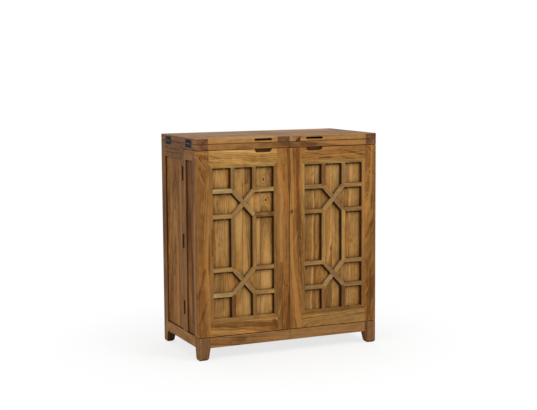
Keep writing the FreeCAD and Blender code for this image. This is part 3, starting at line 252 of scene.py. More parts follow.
def round_foot(shape, middle):
    """Round a leg's lower end, more on its sides towards the cabinet's middle."""
    for level in FOOT_LEVELS:
        everything = shape.verts[:] + shape.edges[:] + shape.faces[:]
        bmesh.ops.bisect_plane(shape, geom=everything, dist=ON_LEVEL, plane_co=(0, 0, level),
                               plane_no=(0, 0, 1))
    foot = [vertex for vertex in shape.verts if vertex.co.z < FOOT_LEVELS[0] - ON_SIDE]
    rows = []
    for vertex in sorted(foot, key=lambda vertex: vertex.co.z):
        if not rows or vertex.co.z - rows[-1][-1].co.z > ON_SIDE:
            rows.append([])
        rows[-1].append(vertex)
    for row in rows:
        level = row[0].co.z
        outside, inside = rounding(level, FOOT_ROUND_OUTSIDE), rounding(level, FOOT_ROUND_INSIDE)
        for axis in (0, 1):
            near = (outside, inside) if middle[axis] < 0 else (inside, outside)
            draw_in(row, axis, *near)


def in_order(points, faces, flags):
    """The same mesh with rounded points in a fixed order, which the cuts of a foot leave open."""
    places = [tuple(round(value, 7) for value in point) for point in points]
    order = sorted(range(len(places)), key=places.__getitem__)
    rank = {old: new for new, old in enumerate(order)}
    rings = []
    for face, flag in zip(faces, flags):
        ring = [rank[index] for index in face]
        turn = ring.index(min(ring))
        rings.append((ring[turn:] + ring[:turn], flag))
    rings.sort()
    return ([Vector(places[index]) for index in order], [ring for ring, flag in rings],
            [flag for ring, flag in rings])


def eased_mesh(triangles, ease, neighbours=(), footed=False, outer=False):
    """Points, faces and face flags of one solid, its free edges rounded over and its joints kept."""
    shape = bmesh.new()
    vertices = {}
    for triangle in triangles:
        for corner in triangle:
            if corner not in vertices:
                vertices[corner] = shape.verts.new(corner)
        ring = [vertices[corner] for corner in triangle]
        if shape.faces.get(ring) is None:
            shape.faces.new(ring)
    low, high = box_of(triangles)
    if footed:
        straight_foot(shape, low, high)
    bmesh.ops.dissolve_limit(shape, angle_limit=FLAT_ANGLE, verts=shape.verts[:], edges=shape.edges[:])
    shape.normal_update()
    free = [edge for edge in sharp_edges(shape)
            if not is_joint(edge, neighbours) and (is_outer(edge, low, high) or not outer)]
    for face in rounded(shape, free, ease, 2):
        face.material_index = 1
    if footed:
        round_foot(shape, (low + high) / 2)
    shape.verts.index_update()
    points = [vertex.co.copy() for vertex in shape.verts]
    faces = [[vertex.index for vertex in face.verts] for face in shape.faces]
    flags = [float(face.material_index) for face in shape.faces]
    shape.free()
    return in_order(points, faces, flags) if footed else (points, faces, flags)


def squared_boxes():
    """The boxes of all squared boards, which tell where boards lie flush."""
    boxes = []
    for node, slot_name in slots.items():
        if slot_name.endswith("_wood"):
            for triangles in solids_of(node):
                if max(abs(value) for value in grain_of(triangles)) > SQUARED_SHARE:
                    boxes.append(box_of(triangles))
    return boxes


def near_boxes(low, high, boxes):
    """The boxes of other boards that touch or nearly touch a board's box."""
    reach = Vector((1, 1, 1)) * MM
    wide_low, wide_high = low - reach, high + reach
    return [box for box in boxes if box != (low, high)
            and all(box[0][axis] < wide_high[axis] and box[1][axis] > wide_low[axis] for axis in range(3))]


def paint(mesh, name, values):
    """One number or three for each face, which the mesh's material reads."""
    kind, field = ("FLOAT", "value") if len(values[0]) == 1 else ("FLOAT_VECTOR", "vector")
    layer = mesh.attributes.new(name, kind, "FACE")
    layer.data.foreach_set(field, [number for value in values for number in value])


def smoothed(piece):
    """Round edges shade smoothly, broad faces stay flat and joints stay crisp."""
    piece.data.shade_smooth()
    piece.data.set_sharp_from_angle(angle=HARD_ANGLE)
    modifier = piece.modifiers.new("broad_faces_flat", "WEIGHTED_NORMAL")
    modifier.weight = 100
    modifier.keep_sharp = True


def linked(name, data):
    piece = bpy.data.objects.new(name, data)
    bpy.context.scene.collection.objects.link(piece)
    return piece


def placed(mesh, body):
    """An object with a mesh and its name, riding on a body."""
    piece = linked(mesh.name, mesh)
    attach(piece, body)
    return piece


def added(points, faces, made):
    """Add a solid to the points and faces of a mesh, and give a flag for each of its faces."""
    solid_points, solid_faces, flags = made
    start = len(points)
    points += solid_points
    faces += [[start + index for index in face] for face in solid_faces]
    return [(flag,) for flag in flags]


def replacement(node, kind, material, points, faces, fields):
    """A mesh in the place of a node's solids, with fields of one value for each face."""
    mesh = bpy.data.meshes.new(f"{node}_{kind}")
    mesh.from_pydata(points, [], faces)
    for name, values in fields.items():
        paint(mesh, name, values)
    mesh.materials.append(material)
    piece = placed(mesh, bodies[node])
    smoothed(piece)
    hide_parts(node)


def shaped(shape, name, body, material):
    """A shape of the scene's own as a piece that rides on a body."""
    bmesh.ops.recalc_face_normals(shape, faces=shape.faces[:])
    mesh = bpy.data.meshes.new(name)
    shape.to_mesh(mesh)
    shape.free()
    mesh.materials.append(material)
    return placed(mesh, body)


def extent(direction, size):
    """How far a box of a size reaches along a direction."""
    return sum(abs(share) * length for share, length in zip(direction, size))


def across_of(along, size):
    """The direction across the grain in which a board is wider."""
    others = [axis for axis in (X, Y, Z) if abs(axis.dot(along)) < CROSSWISE_SHARE]
    if len(others) < 2:
        others = [Y, along.cross(Y)]
    return max(others, key=lambda axis: extent(axis, size))


def dressed(node, material, tones, ease, grain=None, planks=None, footed=False, flush=True, outer=True):
    """The boards of a node in wood, in one tone or in a choice of tones by place.

    planks is the direction across a planked board and its number of planks.
    """
    points, faces = [], []
    fields = {name: [] for name in ("grain", "side", "middle", "planks", "tone", "eased")}
    solids = sorted(solids_of(node), key=lambda solid: [round(value, 3) for value in box_of(solid)[0]])
    for number, triangles in enumerate(solids):
        low, high = box_of(triangles)
        middle, size = (low + high) / 2, high - low
        along = grain or grain_of(triangles)
        side, count = planks or (across_of(along, size), 1)
        neighbours = near_boxes(low, high, board_boxes) if flush else ()
        flags = added(points, faces, eased_mesh(triangles, ease, neighbours, footed, outer))
        seed = random.Random(f"{node} {number}").uniform(0, 50)
        tone = tones(middle, size) if callable(tones) else tones
        planking = (extent(side, size) / count, count, seed)
        for name, value in zip(fields, (along, side, middle, planking, linear(tone))):
            fields[name] += [tuple(value)] * len(flags)
        fields["eased"] += flags
    replacement(node, "boards", material, points, faces, fields)


# Short calls that make shader nodes


class Net:
    """The nodes of a material or a world, made by short calls that pass sockets on."""

    def __init__(self, owner):
        owner.use_nodes = True
        self.owner, self.tree = owner, owner.node_tree
        self.tree.nodes.clear()

    def node(self, kind, **settings):
        made = self.tree.nodes.new(f"ShaderNode{kind}")
        for name, value in settings.items():
            setattr(made, name, value)
        return made

    def feed(self, socket, value):
        if isinstance(value, bpy.types.NodeSocket):
            self.tree.links.new(value, socket)
        else:
            socket.default_value = value

    def fed(self, made, values):
        """A node with values or sockets on its first inputs."""
        for socket, value in zip(made.inputs, values):
            self.feed(socket, value)
        return made

    def maths(self, operation, *values):
        return self.fed(self.node("Math", operation=operation), values).outputs[0]

    def vector(self, operation, *values):
        made = self.fed(self.node("VectorMath", operation=operation), values)
        return made.outputs["Value" if operation in ("DOT_PRODUCT", "LENGTH") else "Vector"]

    plus, minus = partialmethod(maths, "ADD"), partialmethod(maths, "SUBTRACT")
    times, over = partialmethod(maths, "MULTIPLY"), partialmethod(maths, "DIVIDE")
    fused, size = partialmethod(maths, "MULTIPLY_ADD"), partialmethod(maths, "ABSOLUTE")
    least, most = partialmethod(maths, "MINIMUM"), partialmethod(maths, "MAXIMUM")
    below, above = partialmethod(maths, "LESS_THAN"), partialmethod(maths, "GREATER_THAN")
    moved, from_ = partialmethod(vector, "ADD"), partialmethod(vector, "SUBTRACT")
    scaled, dot = partialmethod(vector, "MULTIPLY"), partialmethod(vector, "DOT_PRODUCT")
    length = partialmethod(vector, "LENGTH")

    def gap(self, first, second):
        return self.size(self.minus(first, second))

    def joined(self, x, y, z):
        return self.fed(self.node("CombineXYZ"), (x, y, z)).outputs[0]

    def parts(self, vector):
        return self.fed(self.node("SeparateXYZ"), (vector,)).outputs

    def place(self):
        return self.node("TexCoord").outputs["Object"]

    def read(self, name, output="Vector"):
        """A value that paint() gave to each face."""
        return self.node("Attribute", attribute_name=name).outputs[output]

    def noise_node(self, place, scale):
        """Noise of one scale all round, or of a scale for each axis."""
        made = self.node("TexNoise")
        scale = scale if isinstance(scale, tuple) else (scale,) * 3
        self.feed(made.inputs["Vector"], self.scaled(place, scale))
        made.inputs["Scale"].default_value = 1
        return made

    def noise(self, place, scale, detail=2, roughness=0.5):
        made = self.noise_node(place, scale)
        made.inputs["Detail"].default_value = detail
        made.inputs["Roughness"].default_value = roughness
        return made.outputs["Fac"]

    def wander(self, place, scale, reach):
        """A place moved about smoothly by up to half of reach."""
        away = self.from_(self.noise_node(place, scale).outputs["Color"], (0.5, 0.5, 0.5))
        return self.moved(place, self.scaled(away, (reach, reach, reach)))

    def line_noise(self, value, scale, detail):
        """Noise along one line, for bands of uneven width."""
        made = self.node("TexNoise", noise_dimensions="1D")
        self.feed(made.inputs["W"], self.times(value, scale))
        made.inputs["Scale"].default_value = 1
        made.inputs["Detail"].default_value = detail
        return made.outputs["Fac"]

    def rise(self, value, low, high):
        """Smooth step from 0 at low to 1 at high, which may lie below it."""
        made = self.node("MapRange", interpolation_type="SMOOTHSTEP")
        return self.fed(made, (value, low, high)).outputs["Result"]

    def blend(self, share, first, second):
        """A colour between two colours."""
        made = self.node("Mix", data_type="RGBA")
        for number, value in ((0, share), (6, first), (7, second)):
            self.feed(made.inputs[number], value)
        return made.outputs[2]

    def tinted(self, share, colour, tint):
        """A share of a colour's tinted self."""
        return self.blend(share, colour, self.scaled(colour, tint))

    def mixed(self, share, first, second):
        return self.fed(self.node("MixShader"), (share, first, second)).outputs[0]

    def surface(self, colour, roughness, height, depth, shine=0.5, metallic=0.0):
        """Principled surface with a relief of some depth."""
        skin = self.node("BsdfPrincipled")
        self.feed(skin.inputs["Base Color"], colour)
        self.feed(skin.inputs["Roughness"], roughness)
        skin.inputs["Specular IOR Level"].default_value = shine
        skin.inputs["Metallic"].default_value = metallic
        bump = self.node("Bump")
        bump.inputs["Strength"].default_value = 1
        bump.inputs["Distance"].default_value = depth
        self.feed(bump.inputs["Height"], height)
        self.feed(skin.inputs["Normal"], bump.outputs["Normal"])
        self.feed(self.node("OutputMaterial").inputs["Surface"], skin.outputs["BSDF"])
        return self.owner


# Wood

JOINT_HALF = 1 * MM
HEART_START, HEART_RUN = 28 * MM, 29 * MM
# How far the painted shade and dark waxing of corners reach.
WAX_AND_SHADE_REACH = 12 * MM
FRONT_ZONE = -0.19
LOOSE = 7 * MM
MARK_WANDER, STROKE_WANDER = 110, 70
KNOTS_ALONG, KNOTS_ACROSS = 3.6, 9
RINGS_PER_METRE, BANDS_PER_METRE = 210, 38
AXIS_LEAN, AXIS_DEPTH, AXIS_DEPTH_SPREAD, AXIS_ASIDE_SPREAD = 0.22, 0.012, 0.05, 0.11
PLANK_SPREAD = 0.34
HEART_SHARE = 0.85
RELIEF = 0.22 * MM
PLANK_JUMP = (13, 7, 5)
LIGHT_TINT = (1.46, 1.44, 1.34)
DEEP_TINT = (0.44, 0.34, 0.28)
END_TINT = (0.50, 0.42, 0.38)
# Pale of rubbed edges, and of the painted highlight on edges that face up.
RUBBED_HIGHLIGHT_TINT = (1.60, 1.58, 1.55)
WARM_TINT = (1.12, 0.90, 0.66)
COOL_TINT = (0.92, 1.00, 1.20)
SAPWOOD_END = (2.4, 3.3, 3.6)
SEAM_HALF = 1.9 * MM
DOOR_SEAM_HALF = 1.5 * MM


def board_place(net):
    """Places along, across and through a plank, its joints and its own random draws."""
    place = net.place()
    grain = net.read("grain")
    side = net.read("side")
    from_middle = net.from_(place, net.read("middle"))
    along = net.dot(from_middle, grain)
    across = net.dot(from_middle, side)
    through = net.dot(from_middle, net.vector("CROSS_PRODUCT", grain, side))
    pitch, count, seed = net.parts(net.read("planks"))
    planks_in = net.fused(count, 0.5, net.over(across, pitch))
    last = net.minus(count, 1)
    number = net.maths("FLOOR", net.least(planks_in, net.plus(last, 0.5)))
    dice = net.node("TexWhiteNoise", noise_dimensions="2D")
    net.feed(dice.inputs["Vector"], net.joined(number, seed, 0))
    from_plank = net.times(net.minus(net.minus(planks_in, number), 0.5), pitch)
    planked = net.above(count, 1.5)
    nearest = net.most(net.least(net.maths("ROUND", planks_in), last), 1)
    from_joint = net.times(net.gap(planks_in, nearest), pitch)
    joint = net.times(net.rise(from_joint, JOINT_HALF, JOINT_HALF / 4), planked)
    groove = net.times(net.rise(from_joint, 4 * JOINT_HALF, 2 * JOINT_HALF), planked)
    dice = dice.outputs["Color"]
    home = net.moved(net.joined(along, from_plank, through), net.scaled(dice, PLANK_JUMP))
    home = net.moved(home, net.joined(seed, seed, seed))
    return SimpleNamespace(along=along, across=from_plank, through=through, joint=joint, groove=groove,
                           planked=planked, seed=seed, dice=dice, home=home)


def knots_in(net, home, share):
    """How near a point is to a knot scattered through the wood, and the knot's dark core."""
    along, across, through = net.parts(home)
    eye = net.node("TexVoronoi", voronoi_dimensions="2D", feature="F1")
    spots = net.joined(net.times(along, KNOTS_ALONG), net.times(across, KNOTS_ACROSS), 0)
    net.feed(eye.inputs["Vector"], spots)
    eye.inputs["Scale"].default_value = 1
    present = net.above(net.parts(eye.outputs["Color"])[0], 1 - share)
    near = net.times(net.rise(eye.outputs["Distance"], 0.34, 0), present)
    return near, net.times(net.rise(eye.outputs["Distance"], 0.075, 0.02), present)


def marks_on_front(net, marks):
    """Knots seen on the front, each with a dark core, a thin rim and a pale halo."""
    place = net.place()
    y = net.parts(place)[1]
    loose = net.parts(net.wander(place, MARK_WANDER, LOOSE))
    near, core, halo = 0.0, 0.0, 0.0
    for mark_x, mark_z, wide, high in marks:
        aside = net.over(net.minus(loose[0], mark_x * MM), wide * MM)
        above = net.over(net.minus(loose[2], mark_z * MM), high * MM)
        away = net.length(net.joined(aside, above, 0))
        near = net.most(near, net.rise(away, 2.6, 0.3))
        rim = net.rise(net.gap(away, 1.25), 0.35, 0.05)
        core = net.most(core, net.rise(away, 0.75, 0.25))
        core = net.most(core, net.times(rim, 0.16))
        halo = net.most(halo, net.rise(net.gap(away, 0.9), 0.4, 0.1))
    front = net.below(y, FRONT_ZONE)
    return [net.times(field, front) for field in (near, core, halo)]


def strokes_on_front(net, strokes, loose):
    """Dark and pale bands of grain seen on the front."""
    place = net.place()
    y = net.parts(place)[1]
    flat = net.scaled(net.wander(place, STROKE_WANDER, loose), (1, 0, 1))
    total = 0.0
    for strength, half, *numbers in strokes:
        points = [Vector((x, 0, z)) * MM for x, z in zip(numbers[::2], numbers[1::2])]
        nearest = 1.0
        for first, last in zip(points, points[1:]):
            run = last - first
            unit = run.normalized()
            onward = net.from_(flat, first)
            reach = net.least(net.most(net.dot(onward, unit), 0), run.length)
            away = net.length(net.from_(onward, net.scaled(unit, reach)))
            nearest = net.least(nearest, away)
        inside = net.rise(nearest, 1.4 * half * MM, 0.2 * half * MM)
        total = net.fused(inside, strength, total)
    return net.times(total, net.below(y, FRONT_ZONE))


# The noise in wood: scale along and across the grain, detail and roughness.
NOISES = {
    "wobble": (2, 9, 3, 0.55), "ripple": (9, 24, 2, 0.5), "fade": (1.6, 12, 2, 0.5),
    "streak": (1.3, 62, 3, 0.6), "cluster": (1.2, 10, 2, 0.5), "cloud": (2.6, 9, 2, 0.5),
    "figure": (30, 44, 3, 0.6), "fibre": (9, 330, 3, 0.6), "pore": (26, 900, 1, 0.5),
    "drift": (4, 38, 2, 0.55), "blotch": (20, 60, 2, 0.6)}


def grown(net, home, kind):
    """Noise that runs with the grain."""
    along, across, detail, roughness = NOISES[kind]
    return net.noise(home, (along, across, across), detail, roughness)


def growth(net, board, near):
    """Uneven growth rings round an axis behind the board, with bands of sapwood and heart."""
    chance_a, chance_b, chance_c = net.parts(board.dice)
    wobble = grown(net, board.home, "wobble")
    ripple = grown(net, board.home, "ripple")
    lean = net.times(net.minus(chance_b, 0.5), AXIS_LEAN)
    behind = net.fused(board.along, lean, net.fused(chance_c, AXIS_DEPTH_SPREAD, AXIS_DEPTH))
    behind = net.plus(behind, board.through)
    aside = net.fused(net.minus(chance_a, 0.5), AXIS_ASIDE_SPREAD, board.across)
    radius = net.length(net.joined(behind, aside, 0))
    for field, share in ((wobble, 0.055), (ripple, 0.008), (near, 0.016)):
        radius = net.fused(field, share, radius)
    radius = net.plus(radius, board.seed)
    ring = net.rise(net.line_noise(radius, RINGS_PER_METRE, 3), 0.36, 0.66)
    fade = net.rise(grown(net, board.home, "fade"), 0.33, 0.62)
    ring = net.times(ring, net.fused(fade, 0.75, 0.25))
    band = net.line_noise(radius, BANDS_PER_METRE, 1)
    return ring, net.rise(band, 0.54, 0.74), net.rise(band, 0.44, 0.27)


def fine_grain(net, home):
    """Dark streaks in clusters, cloudy tone, cross figure, fine fibres and pores."""
    streak = net.rise(grown(net, home, "streak"), 0.54, 0.72)
    cluster = net.rise(grown(net, home, "cluster"), 0.44, 0.60)
    streak = net.times(streak, cluster)
    cloud = grown(net, home, "cloud")
    figure = grown(net, home, "figure")
    fibre = grown(net, home, "fibre")
    pore = net.rise(grown(net, home, "pore"), 0.60, 0.72)
    return streak, cloud, figure, fibre, pore


def drifted(net, home, colour, amount):
    """The colour drifting between warm and cool along the grain."""
    drift = grown(net, home, "drift")
    warm = net.times(net.rise(drift, 0.52, 0.72), amount)
    cool = net.times(net.rise(drift, 0.48, 0.30), amount)
    return net.tinted(cool, net.tinted(warm, colour, WARM_TINT), COOL_TINT)


def seam(net, away, half):
    """A soft band round a seam."""
    return net.rise(away, half * 1.3, half * 0.7)


def seam_wax_and_shade(net, normal):
    """Dark waxing and painted shade along the seam under the leaves and along the seam between left and
    right.
    """
    x, y, z = net.parts(net.place())
    level = seam(net, net.gap(z, PIN_HEIGHT), SEAM_HALF)
    upright = seam(net, net.size(x), DOOR_SEAM_HALF)
    upright = net.times(upright, net.below(y, FRONT_ZONE))
    upright_face = net.rise(net.size(net.parts(normal)[2]), 0.85, 0.6)
    return net.times(net.most(level, net.times(upright, 0.75)), upright_face)


def light_heart(net, colour):
    """The right leaf's inner cleat: a sapwood end with a dark heart beside a slanting line."""
    x, y, z = net.parts(net.place())
    low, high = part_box("right_leaf_cleats")
    aside = net.over(net.minus(x, HEART_START), HEART_RUN)
    above = net.over(net.minus(z, low.z), high.z - low.z)
    inside = net.rise(net.minus(aside, above), -0.05, 0.05)
    ended = net.below(y, low.y + 2 * MM)
    ended = net.times(ended, net.below(x, high.x / 2))
    ended = net.times(ended, net.above(x, 0))
    ended = net.times(ended, net.above(z, PIN_HEIGHT))
    end_colour = net.blend(inside, net.scaled(colour, SAPWOOD_END), rgba(HEARTWOOD))
    return net.blend(net.times(ended, HEART_SHARE), colour, end_colour)


def darkness(net, board, look, fields):
    """How dark the wood is, from about -0.3 to 1.2, out of all that grows in it."""
    near, halo, ring, sapwood, heart, streak, cloud, figure, fibre, pore = fields
    dark = net.fused(ring, 0.50 * look.rings, 0.28)
    for field, share in ((heart, 0.45 * look.rings), (sapwood, -0.55 * look.rings), (streak, look.streaks)):
        dark = net.fused(field, share, dark)
    for field, share in ((fibre, 0.5), (figure, 0.7), (cloud, 0.9)):
        dark = net.fused(net.minus(field, 0.5), share, dark)
    for field, share in ((pore, 0.14), (near, 0.22), (halo, -0.28)):
        dark = net.fused(field, share, dark)
    between = net.times(net.minus(net.parts(board.dice)[0], 0.5), PLANK_SPREAD)
    dark = net.plus(dark, net.times(between, board.planked))
    if look.strokes:
        grained = net.fused(fibre, 0.8, 0.6)
        dark = net.fused(strokes_on_front(net, look.strokes, look.loose), grained, dark)
    if look.fade:
        start, end, amount = look.fade
        level = net.parts(net.place())[2]
        dark = net.fused(net.rise(level, start, end), amount, dark)
    return dark


def corner_wax_and_shade(net, board, look, eased):
    """Dark waxing and painted shade in corners, from ambient occlusion, less beside plank joints and on
    eased edges.
    """
    recess = net.node("AmbientOcclusion", samples=8)
    recess.inputs["Distance"].default_value = WAX_AND_SHADE_REACH
    # skyward tilts the occlusion upward, which paints a shadow below the bars and borders that stand over
    # the panel.
    if look.skyward:
        outward = net.node("NewGeometry").outputs["Normal"]
        raised = net.vector("NORMALIZE", net.moved(outward, (0, 0, look.skyward)))
        net.feed(recess.inputs["Normal"], raised)
    blotch = grown(net, board.home, "blotch")
    hidden = net.minus(1, recess.outputs["AO"])
    hidden = net.fused(net.minus(blotch, 0.5), 0.16, hidden)
    corner = net.times(net.rise(hidden, 0.08, 0.42), look.wax)
    corner = net.times(corner, net.fused(board.groove, -0.75, 1))
    return net.times(corner, net.fused(eased, -0.7, 1))


def wax_and_shade_in(net, board, look, normal, tilt, eased):
    """Dark waxing and painted shade in corners, on walls that face sideways or down, on bar rims and along
    seams, dark waxing in plank joints, and painted shade on the rear feet under the cabinet.
    """
    corner = corner_wax_and_shade(net, board, look, eased)
    # Walls that face sideways or down get painted shade along with dark waxing; walls that face up stay
    # light.
    wall = net.times(net.rise(net.size(tilt[1]), 0.75, 0.3), net.rise(tilt[2], 0.6, 0.1))
    wall = net.times(wall, look.walls)
    # The long edges of a bar's front get dark waxing and painted shade.
    if look.rim:
        half = net.times(net.parts(net.read("planks"))[0], 0.5)
        beside = net.over(net.size(board.across), half)
        wall = net.most(wall, net.times(net.rise(beside, 0.72, 1), look.rim))
    waxed_and_shaded = net.most(corner, wall)
    waxed_and_shaded = net.most(waxed_and_shaded, net.times(board.joint, 0.5))
    # Seams get dark waxing and painted shade.
    waxed_and_shaded = net.most(waxed_and_shaded, net.times(seam_wax_and_shade(net, normal), 0.9))
    # Painted shade on the rear posts' forward faces below the aprons, under the cabinet.
    if look.dusky:
        level = net.parts(net.place())[2]
        low = net.times(net.rise(level, TAPER_TOP, TAPER_TOP - 4 * MM), 0.8)
        waxed_and_shaded = net.most(waxed_and_shaded, net.times(low, net.rise(tilt[1], -0.4, -0.9)))
    return waxed_and_shaded


# A wood's settings. fade holds two heights in metres and how much darker it is at the second.
# The corner darkening, walls and rim paint shade along with dark waxing, dusky paints shade on the rear feet
# under the cabinet, skyward turns the corner shade into a shadow under bars, and up_tint is a painted grey
# sheen on upward faces.
PLAIN_LOOK = {
    "streaks": 0.5, "rings": 0.5, "knots": 0.1, "marks": (), "strokes": (), "loose": LOOSE, "drift": 0.6,
    "wax": 0.7, "walls": 0.0, "rim": 0.0, "gloss": 0.42, "shine": 0.06, "fade": None, "up_tint": None,
    "hearted": False, "dusky": False, "skyward": 0.0}


def wood(name, **changes):
    """Waxed wood: rings, sapwood, streaks, pores and knots, with dark waxing and painted shade in corners
    and on walls.
    """
    look = SimpleNamespace(**{**PLAIN_LOOK, **changes})
    net = Net(bpy.data.materials.new(name))
    board = board_place(net)
    near, core = knots_in(net, board.home, look.knots)
    halo = 0.0
    if look.marks:
        near_mark, core_mark, halo = marks_on_front(net, look.marks)
        near = net.most(near, near_mark)
        core = net.most(core, core_mark)
    rings = growth(net, board, near)
    streak, cloud, figure, fibre, pore = fine_grain(net, board.home)
    dark = darkness(net, board, look, (near, halo, *rings, streak, cloud, figure, fibre, pore))

    tone = net.read("tone")
    light, deep = net.scaled(tone, LIGHT_TINT), net.scaled(tone, DEEP_TINT)
    colour = net.blend(net.rise(dark, -0.30, 1.20), light, deep)
    colour = drifted(net, board.home, colour, look.drift)
    colour = net.blend(net.times(core, HEART_SHARE), colour, rgba(HEARTWOOD))

    # End grain soaks up more of the dark waxing, and a top's upper face gets a painted grey sheen.
    normal = net.node("TexCoord").outputs["Normal"]
    tilt = net.parts(normal)
    if look.up_tint:
        colour = net.tinted(net.rise(tilt[2], 0.5, 0.9), colour, look.up_tint)
    end = net.size(net.dot(normal, net.read("grain")))
    colour = net.tinted(net.times(net.rise(end, 0.6, 0.95), 0.6), colour, END_TINT)
    if look.hearted:
        colour = light_heart(net, colour)

    # Handled edges are rubbed pale, with a painted highlight on those that face up, and edges that face
    # right get painted shade; corners, walls and seams are waxed dark and get painted shade, and plank
    # joints are waxed dark.
    eased = net.read("eased", "Fac")
    rub_and_highlight = net.fused(net.rise(tilt[2], 0.2, 0.6), 0.45, 0.35)
    colour = net.blend(net.times(eased, rub_and_highlight), colour, net.scaled(tone, RUBBED_HIGHLIGHT_TINT))
    right_edge_shade = net.times(net.times(eased, net.rise(tilt[0], 0.2, 0.6)), 0.6)
    colour = net.blend(right_edge_shade, colour, rgba(DARK_WAX_AND_SHADE))
    colour = net.blend(wax_and_shade_in(net, board, look, normal, tilt, eased), colour, rgba(DARK_WAX_AND_SHADE))

    height = net.fused(pore, -0.5, net.times(fibre, 0.6))
    height = net.fused(board.joint, -2, height)
    rough = net.fused(cloud, 0.16, look.gloss - 0.08)
    rough = net.fused(pore, 0.12, rough)
    return net.surface(colour, rough, height, RELIEF, look.shine)


# Metal and catches

KNUCKLE_HALF = 4.5 * MM


def hammered_iron():
    """Dark iron, its edges and some patches rubbed lighter, with a painted glint round the knuckles at the
    leaves' pin height.
    """
    net = Net(bpy.data.materials.new("hinge_iron"))
    place = net.place()
    grit = net.noise(place, 900, 3, 0.6)
    patch = net.noise(place, 120)
    wear_and_glint = net.most(net.rise(patch, 0.56, 0.75), net.read("eased", "Fac"))
    wear_and_glint = net.times(wear_and_glint, 0.15)
    # A painted glint round the knuckles at the pin height of the leaves.
    from_pin = net.gap(net.parts(place)[2], PIN_HEIGHT)
    wear_and_glint = net.most(wear_and_glint, net.rise(from_pin, KNUCKLE_HALF, KNUCKLE_HALF / 3))
    colour = net.blend(wear_and_glint, rgba(IRON), rgba(WORN_GLINT_IRON))
    return net.surface(colour, net.fused(grit, 0.3, 0.42), grit, 0.1 * MM, shine=0.04)


def drawn_steel(name, colour, roughness, metallic=0.9):
    """Steel with fine turning marks."""
    net = Net(bpy.data.materials.new(name))
    marks = net.noise(net.place(), (400, 400, 2400))
    tint = net.blend(net.times(marks, 0.4), rgba(colour), rgba(WORN_GLINT_IRON))
    return net.surface(tint, net.fused(marks, 0.2, roughness), marks, 0.03 * MM, metallic=metallic)


def moulded_black():
    """Moulded case with a fine grain."""
    net = Net(bpy.data.materials.new("catch_case"))
    grain = net.noise(net.place(), 1500)
    colour = net.blend(net.times(grain, 0.3), rgba(CATCH_BLACK), rgba(IRON))
    return net.surface(colour, net.fused(grain, 0.2, 0.45), grain, 0.05 * MM)


def metal_piece(node, material, ease):
    """A node of metal or moulding with its edges eased."""
    points, faces, eased = [], [], []
    for triangles in solids_of(node):
        eased += added(points, faces, eased_mesh(triangles, ease))
    replacement(node, "metal", material, points, faces, {"eased": eased})


# Dressing of every node

TOP_EASE = 1.8 * MM
FRAME_EASE = 2 * MM
BAR_EASE = 0.8 * MM
PANEL_EASE = 0.3 * MM
INSIDE_EASE = 1 * MM
METAL_EASE = 0.25 * MM
BORDER_LENGTH = 300 * MM
LONG_UPRIGHT = 200 * MM
MIDDLE_HEIGHT = 525 * MM
LEFT_DOOR_MIDDLE = -226 * MM
TOP_BAR_HEIGHT, BAR_STEP, ROWS = 763 * MM, 114 * MM, 5
STRIP_DEPTH = 20 * MM

CABINET_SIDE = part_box("front_leg_right")[1].x
TAPER_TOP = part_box("front_apron")[0].z
DOOR_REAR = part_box("left_door_side_frame")[1].y
CARCASS_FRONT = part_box("front_stile_left")[0].y
PIN_HEIGHT = next(joint["pos_m"][2] for joint in frame["joints"] if joint["name"] == "left_leaf_fold")
HINGE_NODES = ("hinge_fixed_plates", "left_door_hinge_plates", "right_door_hinge_plates",
               "left_leaf_hinge_plates", "right_leaf_hinge_plates")
board_boxes = squared_boxes()

# Settings that several woods share.
FRAME_LOOK = {"rings": 0.9, "knots": 0.03, "gloss": 0.46, "shine": 0.03}
BROAD_LOOK = {"streaks": 0.4, "rings": 0.9, "wax": 0.94, "gloss": 0.5, "shine": 0.03}
TOP_LOOK = {"wax": 0.95, "gloss": 0.62, "shine": 0.12, "drift": 0.5}


def figured(name, marks, strokes):
    """Frame wood with its own knots and bands of grain."""
    return wood(name, marks=marks, strokes=strokes, **FRAME_LOOK)


def dress_tops(top, caps):
    dressed("fixed_top_board", top, AMBER, TOP_EASE, X, (Y, 5))
    dressed("left_leaf_board", top, HONEY, TOP_EASE, X, (Y, 5))
    dressed("right_leaf_board", top, HONEY, TOP_EASE, X, (Y, 5))
    for node in ("fixed_top_cleats", "left_leaf_cleats", "right_leaf_cleats"):
        dressed(node, caps, CAP_BROWN, TOP_EASE, Y)


def dress_base(plain):
    post = wood("post_wood", **{**FRAME_LOOK, "knots": 0.0}, fade=(0.15, 0.55, 0.35), dusky=True)
    dressed("front_apron", figured("apron_wood", APRON_MARKS, LOW_RAIL_STROKES), APRON_BROWN, FRAME_EASE)
    dressed("back_bottom_rail", plain, BROWN, FRAME_EASE)
    for side in ("left", "right"):
        dressed(f"front_leg_{side}", plain, LEG_BROWN, FRAME_EASE, Z, footed=True)
        dressed(f"rear_post_{side}", post, APRON_BROWN, FRAME_EASE, Z, footed=True)
        dressed(f"side_apron_{side}", plain, APRON_BROWN, FRAME_EASE)


